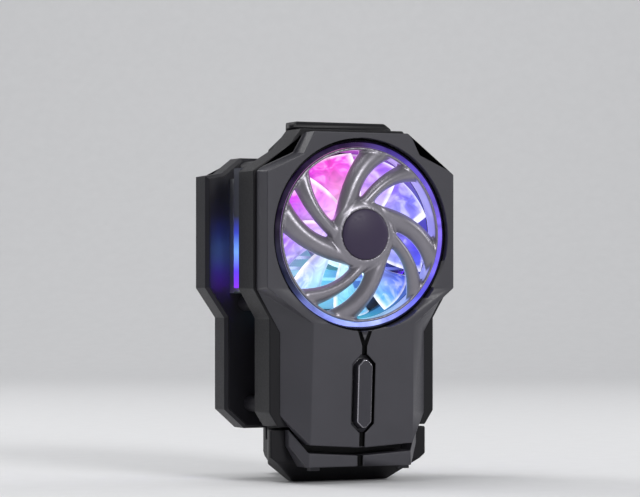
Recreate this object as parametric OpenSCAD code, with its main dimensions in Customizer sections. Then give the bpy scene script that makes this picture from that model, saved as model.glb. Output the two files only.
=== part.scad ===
// Clip-on phone cooler: an axial fan behind a swirl grille blows through a finned heat sink,
// which carries the heat of a thermoelectric module and its cold plate. A fixed upper claw and a
// sprung lower jaw hold a phone against the cooling pad. Front faces -Y, up is +Z, millimetres.
// Depths run back from the plane of the grille rim, heights run up from the foot.

/* [Clamp] */
// Height between the jaw pads at rest
phone_span = 71; // [68:0.5:78]
// Height of the lower jaw pad above the foot
jaw_floor = 10.3; // [9.8:0.1:12.5]
// How far the lower jaw pulls out
jaw_travel = 17; // [8:0.5:17]
// Depth of the gap that takes the phone
phone_gap = 8; // [7:0.1:12]
// Thickness of the claw tips behind the phone
claw_t = 3.2; // [2.4:0.1:4.5]
// Reach of the claw tips over the phone's edge
claw_reach = 3; // [2:0.1:4]
// Half width of the claws at their roots
claw_half = 13.6; // [12:0.1:14]
// Half width of the claws at their tips
claw_tip_half = 5.8; // [4.5:0.1:8]
// Thickness of the soft jaw pads
jaw_pad_t = 1.3; // [0.8:0.1:2]

/* [Fan] */
// Blade tip radius of the impeller
fan_tip_r = 20.3; // [19:0.1:21]
// Running gap between the blade tips and the duct
tip_gap = 0.5; // [0.4:0.1:1]
// Fan axis below the upper claw pad
fan_drop = 19.8; // [19.5:0.1:22]
// Number of impeller blades
blade_count = 9; // [5:1:11]
// Radius of the impeller cup
cup_r = 8.2; // [7.8:0.1:9]
// Wall of the impeller cup
cup_wall = 0.9; // [0.7:0.1:1.1]
// Thickness of an impeller blade
blade_t = 0.9; // [0.6:0.1:1.2]
// Turn of a blade from its front edge to its rear edge, in degrees
blade_turn = 36; // [15:1:38]
// Radius of the motor shaft
shaft_r = 1; // [0.75:0.05:1.2]
// Running clearance of the shaft in its sleeve
shaft_play = 0.03; // [0.02:0.01:0.06]
// Outer radius of the bearing sleeve
sleeve_r = 2.2; // [1.9:0.1:2.4]
// Air gap between the stator poles and the magnet
pole_gap = 0.4; // [0.3:0.05:0.6]
// Thickness of the ring magnet
magnet_t = 0.9; // [0.7:0.1:1]

/* [Grille] */
// Width of the grille's rim
rim_w = 0.8; // [0.6:0.1:1.4]
// Width of the light ring
light_w = 1; // [0.8:0.1:1.6]
// Width of the dark bezel ring
bezel_w = 0.9; // [0.7:0.1:1.5]
// Radius where the vanes leave the hub
vane_root_r = 9; // [8.6:0.1:10]
// Radius of the bare hub badge
badge_r = 6.2; // [5:0.1:7]
// How far the badge's dome stands forward of the rim
hub_rise = 2.8; // [2:0.1:3.6]
// How far a vane's crest stands above its edges
vane_crown = 1.1; // [0.6:0.1:1.4]
// Thickness of a vane at its edges
vane_t = 1.3; // [1:0.1:1.6]

/* [Cover] */
// Cover wall beside the fan opening
cover_side = 1.7; // [1.4:0.1:3]
// Depth of the front cover
cover_depth = 5.6; // [5.4:0.1:6.4]
// Wall thickness of the front cover
cover_wall = 1.6; // [1.2:0.1:2]
// Half width of the stem's front face
stem_half = 14; // [12:0.1:15]
// How far the stem chamfer widens towards the back
stem_flare = 6; // [5:0.1:6.5]
// How far the stem's top stands forward of the rim
stem_rise = 1.6; // [0.8:0.1:2]
// Width of the centre groove
groove_w = 1.4; // [0.5:0.1:1.6]
// Depth of the centre groove
groove_depth = 0.9; // [0.4:0.1:1]
// Shadow gap between the cover and the jaw lip
lip_gap = 1.95; // [1:0.05:3]
// Height of the jaw lip
lip_h = 3.6; // [3:0.05:4.2]

/* [Key] */
// Half width of the mode key
key_half = 2; // [1.6:0.1:3.2]
// Length of the mode key
key_len = 17; // [14:0.5:20]
// How far the key stands out of the cover
key_proud = 1; // [0.3:0.1:1.2]
// Travel of the key
key_travel = 0.6; // [0.3:0.1:0.8]
// Clearance round the key
key_gap = 1.1; // [0.2:0.05:1.2]

/* [Shroud] */
// Depth of the shroud's rear face
shroud_depth = 15; // [14.5:0.1:16]
// How far the shroud's head stands out from the cover on each side
shroud_out = 0.7; // [0.5:0.1:1.6]
// How far the shroud's stem stands out from the cover on each side
shroud_stem_out = 2.6; // [2.2:0.1:3.2]
// Depth of the slots beside the cover's shoulders
slot_depth = 5; // [2:0.1:6]
// Width of the light strips behind the shroud's sides
side_light_w = 4; // [3:0.1:4.5]
// Thickness of the light strips
side_light_t = 1; // [0.8:0.1:1.2]

/* [Cooling] */
// Depth of the air gap with the heat sink's fins
air_gap = 10; // [9:0.1:12]
// Thickness of a fin
fin_t = 0.8; // [0.5:0.1:1]
// Spacing of the fins
fin_pitch = 2.7; // [2:0.1:4]
// Thickness of the heat sink's base
sink_base_t = 2.6; // [2:0.1:3.2]
// Side of the square thermoelectric module
peltier_side = 30; // [24:0.5:31]
// Thickness of the thermoelectric module
peltier_t = 3.6; // [3:0.1:4.2]
// Side of the square cold plate
cold_side = 34; // [32:0.5:35]
// Thickness of the cooling pad
pad_t = 1; // [0.6:0.1:1.6]
// Thickness of the base plate
base_t = 8; // [7.4:0.1:9]
// How far the base plate stands out from the shroud on each side
base_out = 4.4; // [3.6:0.1:5]
// Radius of the screw posts
post_r = 2; // [1.8:0.05:2.1]

/* [Fits] */
// Clearance between fixed pieces
fit = 0.1; // [0.05:0.01:0.15]
// Clearance between sliding pieces
slide_gap = 0.4; // [0.3:0.05:0.5]
// Clearance of a screw in its hole
screw_gap = 0.05; // [0.02:0.01:0.1]
// Radius of the case screws
screw_r = 1; // [0.8:0.05:1.05]

/* [Hidden] */
$fn = 64;

// Colours as the finished piece shows them
cover_grey = "#4c4b50";
shroud_black = "#26252b";
base_grey = "#2f2e33";
metal_grey = "#a4a6a8";
steel_grey = "#b9bbbd";
board_green = "#20402f";
soft_black = "#1c1c1f";

// Radii, from the blade tips out to the cover
duct_r = fan_tip_r + tip_gap;
rim_in = duct_r + fit;
rim_out = rim_in + rim_w;
light_in = rim_out + fit;
light_out = light_in + light_w;
bezel_in = light_out + fit;
bezel_out = bezel_in + bezel_w;
hole_r = bezel_out + fit;

// Depths, from the front back to the claw tips
air_rear = shroud_depth + air_gap;
base_rear = air_rear + base_t;
pad_rear = base_rear + pad_t;
claw_front = pad_rear + phone_gap;
claw_rear = claw_front + claw_t;
face_y = hub_rise - (hub_rise + claw_rear) / 2;

// Heights of the clamp and the fan
grip_z = jaw_floor + phone_span;
fan_z = grip_z - fan_drop;

// Heights of the stem, over the jaw
cover_low = jaw_floor - 0.6;
cover_vee = 0.9;
shroud_low = jaw_floor + 3.7;
stem_low = jaw_floor + 6.7;
base_low = jaw_floor + 2.6;
base_top = grip_z - 0.2;

// Heights of the head, round the fan opening
cover_top = fan_z + hole_r + 1.4;
shoulder_z = fan_z + hole_r - 4.2;
head_hi = fan_z + hole_r - 8.6;
head_lo = fan_z - hole_r + 10.7;
stem_hi = fan_z - hole_r + 1.9;
neck_z = stem_hi + 1.3;

// Widths of the three layers
cover_half = hole_r + cover_side;
cover_skirt = 0.6;
flare_half = stem_half + stem_flare;
shroud_half = cover_half + cover_skirt + shroud_out;
shroud_stem = flare_half + shroud_stem_out;
base_half = shroud_half + base_out;
base_stem = shroud_stem + base_out - 0.9;
shoulder_w = hole_r - 8.1;
top_w = hole_r - 11;

// One half of a layer's outline, from the top down the right side, with a vee at the bottom centre
function half_layer(top, shoulder, head, head_hi, head_lo, stem, stem_hi, stem_low, foot, vee = 0) =
    concat([top, shoulder, [head, head_hi], [head, head_lo], [stem, stem_hi], [stem, stem_low], foot],
        vee > 0 ? [[0, foot[1] - vee]] : []);

// The whole outline, clockwise as the front sees it
function whole(half) = concat(half,
    [for (i = [len(half) - 1:-1:0]) if (half[i][0] > 0) [-half[i][0], half[i][1]]]);

function normal(a, b) = let (e = (b - a) / norm(b - a)) [e[1], -e[0]];

// An outline drawn in by t, or out by a negative t
function inset(loop, t) = let (n = len(loop)) [for (i = [0:n - 1]) let (
    p = loop[i],
    before = normal(loop[(i + n - 1) % n], p),
    after = normal(p, loop[(i + 1) % n])
) p + t * (before + after) / (1 + before * after)];

function mixed(a, b, t) = [for (i = [0:len(a) - 1]) a[i] * (1 - t) + b[i] * t];

cover_front = whole(half_layer([top_w, cover_top], [shoulder_w, shoulder_z], cover_half,
    head_hi, head_lo, stem_half, stem_hi, stem_low, [stem_half, cover_low], cover_vee));
cover_back = whole(half_layer([top_w + 0.2, cover_top],
    [shoulder_w + 0.4, shoulder_z + 0.3], cover_half + cover_skirt, head_hi + 0.3,
    head_lo - 0.4, flare_half, stem_hi - 2.2, stem_low, [stem_half, cover_low], cover_vee));
shroud_wide = whole(half_layer([top_w + 1.1, cover_top + 0.9], [shoulder_w + 1.8, shoulder_z + 1.9],
    shroud_half, head_hi + 0.4, head_lo - 0.3, shroud_stem, neck_z, stem_low + 0.5,
    [shroud_stem - 2.3, shroud_low]));
base_wide = whole(half_layer([base_half - 9.5, base_top], [base_half - 4.5, head_hi + 0.4], base_half,
    head_hi - 0.4, head_lo, base_stem, neck_z, stem_low + 0.7,
    [base_stem - 5.4, base_low]));

// Depth of the cover's front: level round the fan, leaning back down the stem
face_d = 0.2;
function stem_d(z) = -stem_rise + (stem_hi - z) * (stem_rise + face_d) / (stem_hi - cover_low);
function cover_d(loop) = [for (p = loop) p[1] > stem_hi + 0.1 ? face_d : stem_d(p[1])];

// A solid through a row of outlines, each with one depth or a list of depths
module loft(loops, depths, front) {
    n = len(loops[0]);
    last = len(loops) - 1;
    points = [for (k = [0:last]) for (i = [0:n - 1]) let (d = is_list(depths[k]) ? depths[k][i] : depths[k])
        [loops[k][i][0], face_y + d, loops[k][i][1]]];
    front_faces = is_undef(front) ? [[for (i = [0:n - 1]) i]] : front;
    rear_face = [for (i = [n - 1:-1:0]) last * n + i];
    sides = [for (k = [0:last - 1]) for (i = [0:n - 1]) let (
        j = (i + 1) % n, p = k * n + i, q = k * n + j, r = p + n, s = q + n)
        each i < (n - 1) / 2 ? [[p, r, q], [r, s, q]] : [[p, r, s], [p, s, q]]];
    polyhedron(points, concat(front_faces, sides, [rear_face]), convexity = 8);
}

// A flat outline in X and Z, carried from depth a to depth b
module slab(a, b) {
    translate([0, face_y + b, 0]) rotate([90, 0, 0]) linear_extrude(b - a) children();
}

// A side outline in depth and Z, carried across the width
module across(half_w) {
    translate([-half_w, face_y, 0]) rotate([90, 0, 90]) linear_extrude(2 * half_w) children();
}

// A plan outline in X and depth, carried up from z to z + h
module plan(z, h) {
    translate([0, face_y, z]) linear_extrude(h) children();
}

// A round peg or bore along Y
module peg(x, z, r, a, b) {
    translate([x, face_y + a, z]) rotate([-90, 0, 0]) cylinder(r = r, h = b - a);
}

// A revolved profile of radius and depth about the fan axis
module turned() {
    translate([0, face_y, fan_z]) rotate([-90, 0, 0]) rotate_extrude() children();
}

module ring(r_in, r_out, a, b) {
    turned() translate([r_in, a]) square([r_out - r_in, b - a]);
}

module both_sides() {
    children();
    mirror([1, 0, 0]) children();
}

module panel(x0, x1, z0, z1) {
    translate([x0, z0]) square([x1 - x0, z1 - z0]);
}

// Turns a piece drawn along +X about the fan axis
module about_fan(a) {
    translate([0, 0, fan_z]) rotate([0, a, 0]) children();
}

function polar(r, a, d) = [r * cos(a), face_y + d, fan_z + r * sin(a)];

// Triangles across a section, from its first and last points inwards
function across_cap(n) = concat(
    [for (i = [0:floor(n / 2) - 2]) each [[i, i + 1, n - 2 - i], [i, n - 2 - i, n - 1 - i]]],
    n % 2 == 0 ? [] : [[(n - 3) / 2, (n - 1) / 2, (n + 1) / 2]]);

// Skins a row of closed sections, each listed clockwise as seen from the first one's outside
module skin(sections) {
    n = len(sections[0]);
    last = len(sections) - 1;
    sides = [for (k = [0:last - 1]) for (i = [0:n - 1]) let (
        j = (i + 1) % n, p = k * n + i, q = k * n + j)
        each [[p, p + n, q], [p + n, q + n, q]]];
    rear = [for (t = across_cap(n)) [for (i = [2:-1:0]) last * n + t[i]]];
    polyhedron([for (s = sections) each s], concat(across_cap(n), sides, rear), convexity = 6);
}

// Front cover: moulded shell with the fan opening, a leaning stem and a key slot
key_mid = cover_low + cover_wall + key_len / 2 + key_gap + 1.3;
key_flange = key_gap + 0.6;
key_corner = 0.75 * key_half;
key_rest = 0.3;
boss_r = 2.1;
cover_screw_at = [[stem_half - 3.6, fan_z - hole_r - 5], [stem_half - 3.6, stem_low + 2.3]];

function octagon(half_w, len, cut) = let (h = len / 2) [
    [half_w - cut, h], [half_w, h - cut], [half_w, cut - h], [half_w - cut, -h],
    [cut - half_w, -h], [-half_w, cut - h], [-half_w, h - cut], [cut - half_w, h]];
function key_loop(grow) = [for (p = octagon(key_half + grow, key_len + 2 * grow, key_corner + 0.6 * grow))
    [p[0], p[1] + key_mid]];
function leaning(loop, d) = [for (p = loop) stem_d(p[1]) + d];

module cover_bore() {
    peg(0, fan_z, hole_r, -stem_rise - 1, cover_depth + 1);
}

module stem_hollow() {
    low = cover_low + cover_wall;
    high = fan_z - hole_r - cover_wall;
    half_w = stem_half - cover_wall;
    loop = [[-half_w, high], [half_w, high], [half_w, low], [-half_w, low]];
    loft([loop, loop], [leaning(loop, cover_wall), cover_depth + 1]);
}

module head_hollow() {
    pocket_d = cover_depth - 2.2;
    difference() {
        slab(pocket_d, cover_depth + 1) polygon(inset(mixed(cover_front, cover_back, 0.6), cover_wall));
        peg(0, fan_z, hole_r + cover_wall, 0, cover_depth + 2);
        slab(0, cover_depth + 2) panel(-flare_half, flare_half, 0, fan_z - hole_r);
    }
}

module centre_groove() {
    fork = 3.2;
    top = fan_z - hole_r - fork;
    loop = [[-groove_w / 2, top], [groove_w / 2, top], [groove_w / 2, 0], [-groove_w / 2, 0]];
    loft([loop, loop], [[for (p = loop) stem_d(p[1]) - 3], leaning(loop, groove_depth)]);
    both_sides() {
        arm_w = 0.7 * groove_w;
        arm = [[-0.3, top + 0.2], [1.3, top + fork + 1], [1.3 + arm_w, top + fork + 1],
            [groove_w / 2, top - 0.4]];
        loft([arm, arm], [[for (p = arm) stem_d(p[1]) - 3.5], leaning(arm, groove_depth - 0.15)]);
    }
}

module front_cover() color(cover_grey) {
    difference() {
        loft([cover_front, cover_back], [cover_d(cover_front), cover_depth],
            [[0, 1, 2, 3, 11, 12, 13, 14], [3, 4, 10, 11], [4, 5, 6, 7, 8, 9, 10]]);
        cover_bore();
        difference() {
            stem_hollow();
            for (p = cover_screw_at) both_sides() peg(p[0], p[1], boss_r, -2, cover_depth + 2);
        }
        head_hollow();
        loft([key_loop(key_gap), key_loop(key_gap)], [-stem_rise - 2, cover_depth]);
        centre_groove();
        for (p = cover_screw_at) both_sides() peg(p[0], p[1], screw_r - 0.1, 2.4, cover_depth + 1);
    }
}

// Rings round the grille: a dark bezel outside, a light guide inside
bezel_front = 1.3;
light_front = 0.9;
led_board_t = 1;
led_h = 0.7;
led_count = 12;
led_seat = cover_depth - led_board_t;

module bezel_ring() color(soft_black) {
    turned() polygon([[bezel_in, led_seat - fit], [bezel_in, bezel_front + 0.5],
        [bezel_in + 0.3, bezel_front], [bezel_out, bezel_front + 0.5], [bezel_out, led_seat - fit]]);
}

module light_ring() color("#8f7fd0") {
    mid = (light_in + light_out) / 2;
    turned() polygon([[light_in, led_seat - led_h - fit], [light_in, light_front + 0.3], [mid, light_front],
        [light_out, light_front + 0.3], [light_out, led_seat - led_h - fit]]);
}

module led_board() color(board_green) ring(light_in, bezel_out, led_seat, cover_depth);

module leds() color("#f2f2f4") {
    mid = (light_in + light_out) / 2;
    for (k = [0:led_count - 1]) about_fan(360 * k / led_count)
        translate([mid - light_w * 0.4, face_y + led_seat - led_h, -0.8]) cube([light_w * 0.8, led_h, 1.6]);
}

// Swirl grille: eight crowned vanes in four pairs between a hub and a rim
vane_tip_r = rim_in + rim_w / 2;
vane_rows = 9;
vane_fine = 1.5;
wide_tip = 70.7;
thin_tip = 98.6;
// Edge of an opening: its angle at the hub, its sweep out to the rim, and how soon it sweeps
wide_lead = [wide_tip, -75, 0.4];
wide_trail = [wide_tip, -31, 1.05];
thin_lead = [thin_tip, -43.6, 0.55];
thin_trail = [thin_tip, -33.6, 1.1];
next_wide = [wide_tip + 90, -75, 0.4];
function edge_angle(e, s) = e[0] + e[1] * pow(s, e[2]);

// Depth of the vane crests: level at the rim, domed up to the hub
vane_rim_d = 0.7;
hub_d = -hub_rise + 1;
root_d = hub_d + 0.3;
function crest_d(s) = root_d + (vane_rim_d + 0.25 - root_d) * s * s;

function vane_section(from, to, s) = let (
    r = vane_root_r - 1.2 + (vane_tip_r - vane_root_r + 1.2) * s,
    a = edge_angle(from, s),
    b = edge_angle(to, s),
    top = crest_d(s),
    low = top + vane_crown)
    [polar(r, b, low + vane_t), polar(r, b, low),
     for (t = [0.75, 0.5, 0.25]) polar(r, a + (b - a) * t, top + vane_crown * pow(abs(2 * t - 1), 2.2)),
     polar(r, a, low), polar(r, a, low + vane_t)];

module vane(from, to) {
    skin([for (k = [0:vane_rows - 1]) vane_section(from, to, pow(k / (vane_rows - 1), vane_fine))]);
}

module fan_grille() color("#55545c") {
    hub_low = root_d + vane_crown + vane_t + 0.2;
    turned() polygon([[rim_in, cover_depth], [rim_in, vane_rim_d + 0.4], [rim_in + rim_w / 2, vane_rim_d],
        [rim_out, vane_rim_d + 0.4], [rim_out, cover_depth]]);
    difference() {
        turned() polygon([[0, hub_d], [badge_r + fit, hub_d], [vane_root_r - 0.8, hub_d],
            [vane_root_r, hub_d + 0.5], [vane_root_r, hub_low], [0, hub_low]]);
        peg(0, fan_z, badge_r + fit, hub_d - 1, hub_d + 0.6);
    }
    for (k = [0:3]) about_fan(90 * k) translate([0, 0, -fan_z]) {
        vane(wide_trail, thin_lead);
        vane(thin_trail, next_wide);
    }
}

// Hub badge: a bare domed disc set in the grille's hub
module hub_badge() color("#47424f") {
    dome_r = (badge_r * badge_r + 1) / 2;
    intersection() {
        translate([0, face_y + dome_r - hub_rise, fan_z]) sphere(dome_r, $fn = 128);
        peg(0, fan_z, badge_r, -hub_rise - 1, hub_d + 0.6);
    }
}

// Mode key with its flange and post, and the switch behind it
switch_z = key_mid;
switch_side = 6;
switch_h = 2.4;
bay_floor = cover_depth + 1.2;
board_front = bay_floor + 1.4;
board_t = 1.2;
plunger_r = 0.9;
plunger_front = cover_depth - 0.8;
switch_front = board_front - switch_h;

module mode_key() color("#3a393e") {
    flange_front = cover_wall + key_rest;
    flange = key_loop(key_flange);
    loft([inset(key_loop(0), 0.3), key_loop(0), key_loop(0)],
        [leaning(inset(key_loop(0), 0.3), -key_proud), leaning(key_loop(0), 0.3 - key_proud),
        leaning(key_loop(0), flange_front + 0.4)]);
    loft([flange, flange], [leaning(flange, flange_front), leaning(flange, flange_front + 0.8)]);
    peg(0, switch_z, 1.3, stem_d(switch_z) + flange_front + 0.5, plunger_front);
}

module switch_plunger() color("#c8c6c0") peg(0, switch_z, plunger_r, plunger_front, switch_front + 0.8);

module tact_switch() color(metal_grey) difference() {
    slab(switch_front, board_front) translate([0, switch_z]) square(switch_side, center = true);
    peg(0, switch_z, plunger_r + 0.08, switch_front - 1, switch_front + 0.8 + key_travel + key_rest);
}

// Control board with its power socket, in the bay behind the stem
bay_half = stem_half + 2.2;
bay_low = stem_low;
bay_high = fan_z - hole_r - 1.4;
board_edge = 0.8;
bay_cover_t = 1.2;
usb_z = (bay_low + bay_high) / 2 + 3;
usb_w = 8.94;
usb_h = 3.26;
usb_wall = 0.3;
usb_len = 7.3;
usb_d = board_front + board_t + usb_h / 2;

module control_board() color(board_green) {
    slab(board_front, board_front + board_t)
        panel(board_edge - bay_half, bay_half - board_edge, bay_low + board_edge, bay_high - board_edge);
}

// A flat oval along X, as the power plug and its socket have
module oval_x(x0, x1, w, h) {
    translate([x0, face_y + usb_d, usb_z]) rotate([0, 90, 0]) {
        for (s = [-1, 1]) translate([s * (w - h) / 2, 0, 0]) cylinder(d = h, h = x1 - x0);
        translate([(h - w) / 2, -h / 2, 0]) cube([w - h, h, x1 - x0]);
    }
}

module usb_socket() color(steel_grey) {
    mouth = shroud_stem - 0.4;
    difference() {
        oval_x(mouth - usb_len, mouth, usb_w, usb_h);
        oval_x(mouth - usb_len + 1, mouth + 1, usb_w - 2 * usb_wall, usb_h - 2 * usb_wall);
    }
    translate([mouth - usb_len + 0.5, face_y + usb_d - 0.35, usb_z - 3.3]) cube([5, 0.7, 6.6]);
}

module bay_cover() color(soft_black) {
    slab(max(shroud_depth - bay_cover_t, usb_d + usb_h / 2 + fit), shroud_depth)
        panel(fit - bay_half, bay_half - fit, bay_low + fit, bay_high - fit);
}

module cover_screws() color(steel_grey) {
    for (p = cover_screw_at) both_sides() {
        peg(p[0], p[1], screw_r - 0.1 - screw_gap, 2.8, bay_floor);
        peg(p[0], p[1], 1.7, bay_floor, bay_floor + 1);
    }
}

// Shroud frame: the duct ring, the board bay and the shoulder strips
mount_out = duct_r + 1.6;
mount_seat = shroud_depth - 2.7;
post_top = [shroud_half - 6.5, base_top - post_r - 1];
post_mid = [shroud_half - 6.2, neck_z + 3.8];
post_low = [shroud_stem - 3.4, stem_low + 2.2];
post_at = [post_top, post_mid, post_low];
screw_bite = 6;
slot_gap = 0.1;
slot_w = 0.7;

// Two slots that follow the cover's shoulders, in the shroud's front face
module shoulder_slots() {
    near = inset(cover_back, -slot_gap);
    far = inset(cover_back, -slot_gap - slot_w);
    start = 0.25;
    end = 0.55;
    both_sides() slab(cover_depth - 1, cover_depth + slot_depth) polygon([
        mixed(near[0], near[1], start), near[1], mixed(near[1], near[2], end),
        mixed(near[1], near[2], end) + [0.1, 0.4], far[1], mixed(far[0], far[1], start)]);
}

module shroud_frame() color(shroud_black) difference() {
    slab(cover_depth, shroud_depth) polygon(shroud_wide);
    shoulder_slots();
    peg(0, fan_z, duct_r, 0, shroud_depth + 1);
    peg(0, fan_z, mount_out + fit, mount_seat, shroud_depth + 1);
    slab(bay_floor, shroud_depth + 1) panel(-bay_half, bay_half, bay_low, bay_high);
    slab(cover_depth - 1, bay_floor + 1) translate([0, switch_z]) square(switch_side + 0.6, center = true);
    oval_x(bay_half - 1, shroud_stem + 2, usb_w + 0.4, usb_h + 0.4);
    for (p = cover_screw_at) both_sides() peg(p[0], p[1], screw_r, cover_depth - 1, bay_floor + 1);
    for (p = post_at) both_sides()
        peg(p[0], p[1], screw_r + screw_gap, shroud_depth - screw_bite - 0.5, shroud_depth + 1);
}

// Light strips on edge behind the shroud's sides, at the mouths of the air gap
light_inset = 0.5;

module side_lights() color("#8fc8ff") both_sides()
    translate([shroud_half - light_inset - side_light_t, face_y + shroud_depth, head_lo])
    cube([side_light_t, side_light_w, post_top[1] - head_lo]);

// Motor: a spider with the bearing tube, its board, stator, sleeve, and the turning pieces
spider_front = shroud_depth - 2.6;
spider_rear = shroud_depth - 0.1;
motor_board_t = 0.8;
tube_r = sleeve_r + 0.8;
cup_front = 3.6;
cup_wall_d = 1.2;
cup_inner = cup_front + cup_wall_d;
boss_h = 0.6;
cup_rear = spider_front - motor_board_t - 0.4;
magnet_out = cup_r - cup_wall - fit;
magnet_in = magnet_out - magnet_t;
pole_r = magnet_in - pole_gap;
stator_front = cup_front + 3.4;
stator_rear = cup_rear - 1.2;

module motor_base() color(shroud_black) {
    spoke_w = 2.2;
    ring(duct_r + 0.2, mount_out, mount_seat + fit, spider_rear);
    difference() {
        union() {
            peg(0, fan_z, cup_r + 0.6, spider_front, spider_rear);
            peg(0, fan_z, tube_r, stator_front - 1.2, spider_rear - 0.3);
            for (k = [0:3]) about_fan(45 + 90 * k) translate([2, face_y + spider_front + 0.2, -spoke_w / 2])
                cube([duct_r - 1, spider_rear - spider_front - 0.5, spoke_w]);
        }
        peg(0, fan_z, sleeve_r + 0.02, stator_front - 2, spider_rear - 0.6);
    }
}

module motor_board() color(board_green)
    ring(tube_r + fit, cup_r - 0.4, spider_front - motor_board_t, spider_front);

module stator_core() color("#7c7f84") {
    pole_w = 1.6;
    shoe = pole_r - 0.9;
    ring(tube_r + 0.02, tube_r + 0.7, stator_front, stator_rear);
    difference() {
        union() {
            ring(shoe, pole_r, stator_front, stator_rear);
            for (k = [0:3]) about_fan(90 * k)
                translate([tube_r + 0.4, face_y + stator_front, -pole_w / 2])
                cube([pole_r - tube_r - 0.9, stator_rear - stator_front, pole_w]);
        }
        for (k = [0:3]) about_fan(45 + 90 * k) translate([shoe - 1, face_y, -0.7])
            cube([4, shroud_depth, 1.4]);
    }
}

module windings() color("#b4683a") {
    pole_w = 1.6;
    inner = tube_r + 0.8;
    outer = pole_r - 1.2;
    for (k = [0:3]) about_fan(90 * k) difference() {
        translate([inner, face_y + stator_front - 0.7, -pole_w / 2 - 0.5])
            cube([outer - inner, stator_rear - stator_front + 1.4, pole_w + 1]);
        translate([inner - 1, face_y + stator_front - 0.05, -pole_w / 2 - 0.05])
            cube([outer - inner + 2, stator_rear - stator_front + 0.1, pole_w + 0.1]);
    }
}

module bearing_sleeve() color("#b08d4a")
    ring(shaft_r + shaft_play, sleeve_r, stator_front - 1.2, spider_rear - 0.7);

module fan_shaft() color(steel_grey) peg(0, fan_z, shaft_r, cup_inner, spider_rear - 1);

// One blade section: a thin cambered plate that turns as it goes back
blade_front = cup_front + 0.5;
blade_rear = cup_rear - 0.2;
function blade_section(r) = let (
    half_a = asin(blade_t / 2 / r),
    lean = 14 * (r - cup_r) / (fan_tip_r - cup_r),
    rows = [0, 0.3, 0.65, 1])
    [for (side = [-1, 1]) for (i = side < 0 ? [0:3] : [3:-1:0]) let (t = rows[i])
        polar(r, lean + blade_turn * (t + 0.18 * sin(180 * t)) + side * half_a,
            blade_front + (blade_rear - blade_front) * t)];

module impeller() color("#d9d6ee") {
    turned() polygon([[0, cup_front], [cup_r - 0.8, cup_front], [cup_r, cup_front + 0.8], [cup_r, cup_rear],
        [cup_r - cup_wall, cup_rear], [cup_r - cup_wall, cup_inner], [shaft_r + 1, cup_inner],
        [shaft_r + 1, cup_inner + boss_h], [shaft_r + 0.02, cup_inner + boss_h],
        [shaft_r + 0.02, cup_inner], [0, cup_inner]]);
    radii = [cup_r - 0.5, cup_r + 3, (cup_r + fan_tip_r) / 2, fan_tip_r - 2, fan_tip_r];
    for (k = [0:blade_count - 1]) about_fan(360 * k / blade_count)
        translate([0, 0, -fan_z]) skin([for (r = radii) blade_section(r)]);
}

module rotor_magnet() color("#55585c") ring(magnet_in, magnet_out, cup_inner + fit, cup_rear - 0.2);

// Heat sink: fins across the air gap, open to both sides
sink_front = air_rear - sink_base_t;
sink_high = post_top[1] - post_r - 0.4;
sink_low = post_mid[1] + post_r + 0.4;
fin_half = shroud_half - light_inset - side_light_t - 0.4;
fin_front = shroud_depth + 0.4;
fin_count = floor((sink_high - sink_low - fin_t) / fin_pitch) + 1;
fin_start = (sink_high + sink_low - (fin_count - 1) * fin_pitch) / 2;

cold_z = fan_z - 2.5;
base_bevel = 0.8;
sink_foot = cold_z - peltier_side / 2 - 1;

module heat_sink() color(metal_grey) {
    slab(sink_front, air_rear) polygon(whole([[fin_half, sink_high], [fin_half, sink_low],
        [cold_side / 2, sink_low], [cold_side / 2, sink_foot]]));
    slab(fin_front, sink_front + 0.2) for (k = [0:fin_count - 1])
        translate([0, fin_start + k * fin_pitch]) square([2 * fin_half, fin_t], center = true);
}

// Thermoelectric module: two ceramic plates with the couples between them
module peltier_module() color("#e6e4de") {
    plate = 0.8;
    translate([0, 0, cold_z]) {
        slab(air_rear, air_rear + plate) square(peltier_side, center = true);
        slab(air_rear + peltier_t - plate, air_rear + peltier_t) square(peltier_side, center = true);
        slab(air_rear + plate, air_rear + peltier_t - plate) square(peltier_side - 2, center = true);
    }
}

// Cold plate with a step that seats in the base plate, and the soft cooling pad over it
cold_step = 1.4;
cold_step_front = base_rear - 3.4;
cold_step_rear = base_rear - 1.8;
pad_half = cold_side / 2 + 2;

module cold_plate() color("#c9ccce") translate([0, 0, cold_z]) {
    slab(air_rear + peltier_t, base_rear) square(cold_side, center = true);
    slab(cold_step_front, cold_step_rear) square([cold_side + 2 * cold_step, cold_side - 2], center = true);
}

module rounded_square(half_s, r) {
    square([2 * half_s, 2 * (half_s - r)], center = true);
    square([2 * (half_s - r), 2 * half_s], center = true);
    for (x = [-1, 1]) for (z = [-1, 1]) translate([x * (half_s - r), z * (half_s - r)]) circle(r);
}

module cooling_pad() color(soft_black)
    slab(base_rear, pad_rear) translate([0, cold_z]) rounded_square(pad_half, 3);

// Base plate: the rear shell with its screw posts, jaw rails, spring pins and stop pin
rail_w = 1.6;
rail_in = post_low[0] - post_r - rail_w - 0.3;
spring_x = rail_in - 4.4;
spring_pin_r = 1;
spring_top = fan_z - hole_r + 3;
stop_r = 1.6;
stop_z = stem_low;
stop_play = 0.3;
jaw_screw_at = [6, base_top - 2.4];
tongue_t = 2.5;
tongue_half = 9;
screw_head_r = 1.9;
screw_head_t = 1.4;

module jaw_screw(r, a, b) {
    peg(jaw_screw_at[0], jaw_screw_at[1], r, a, b);
}

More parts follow.
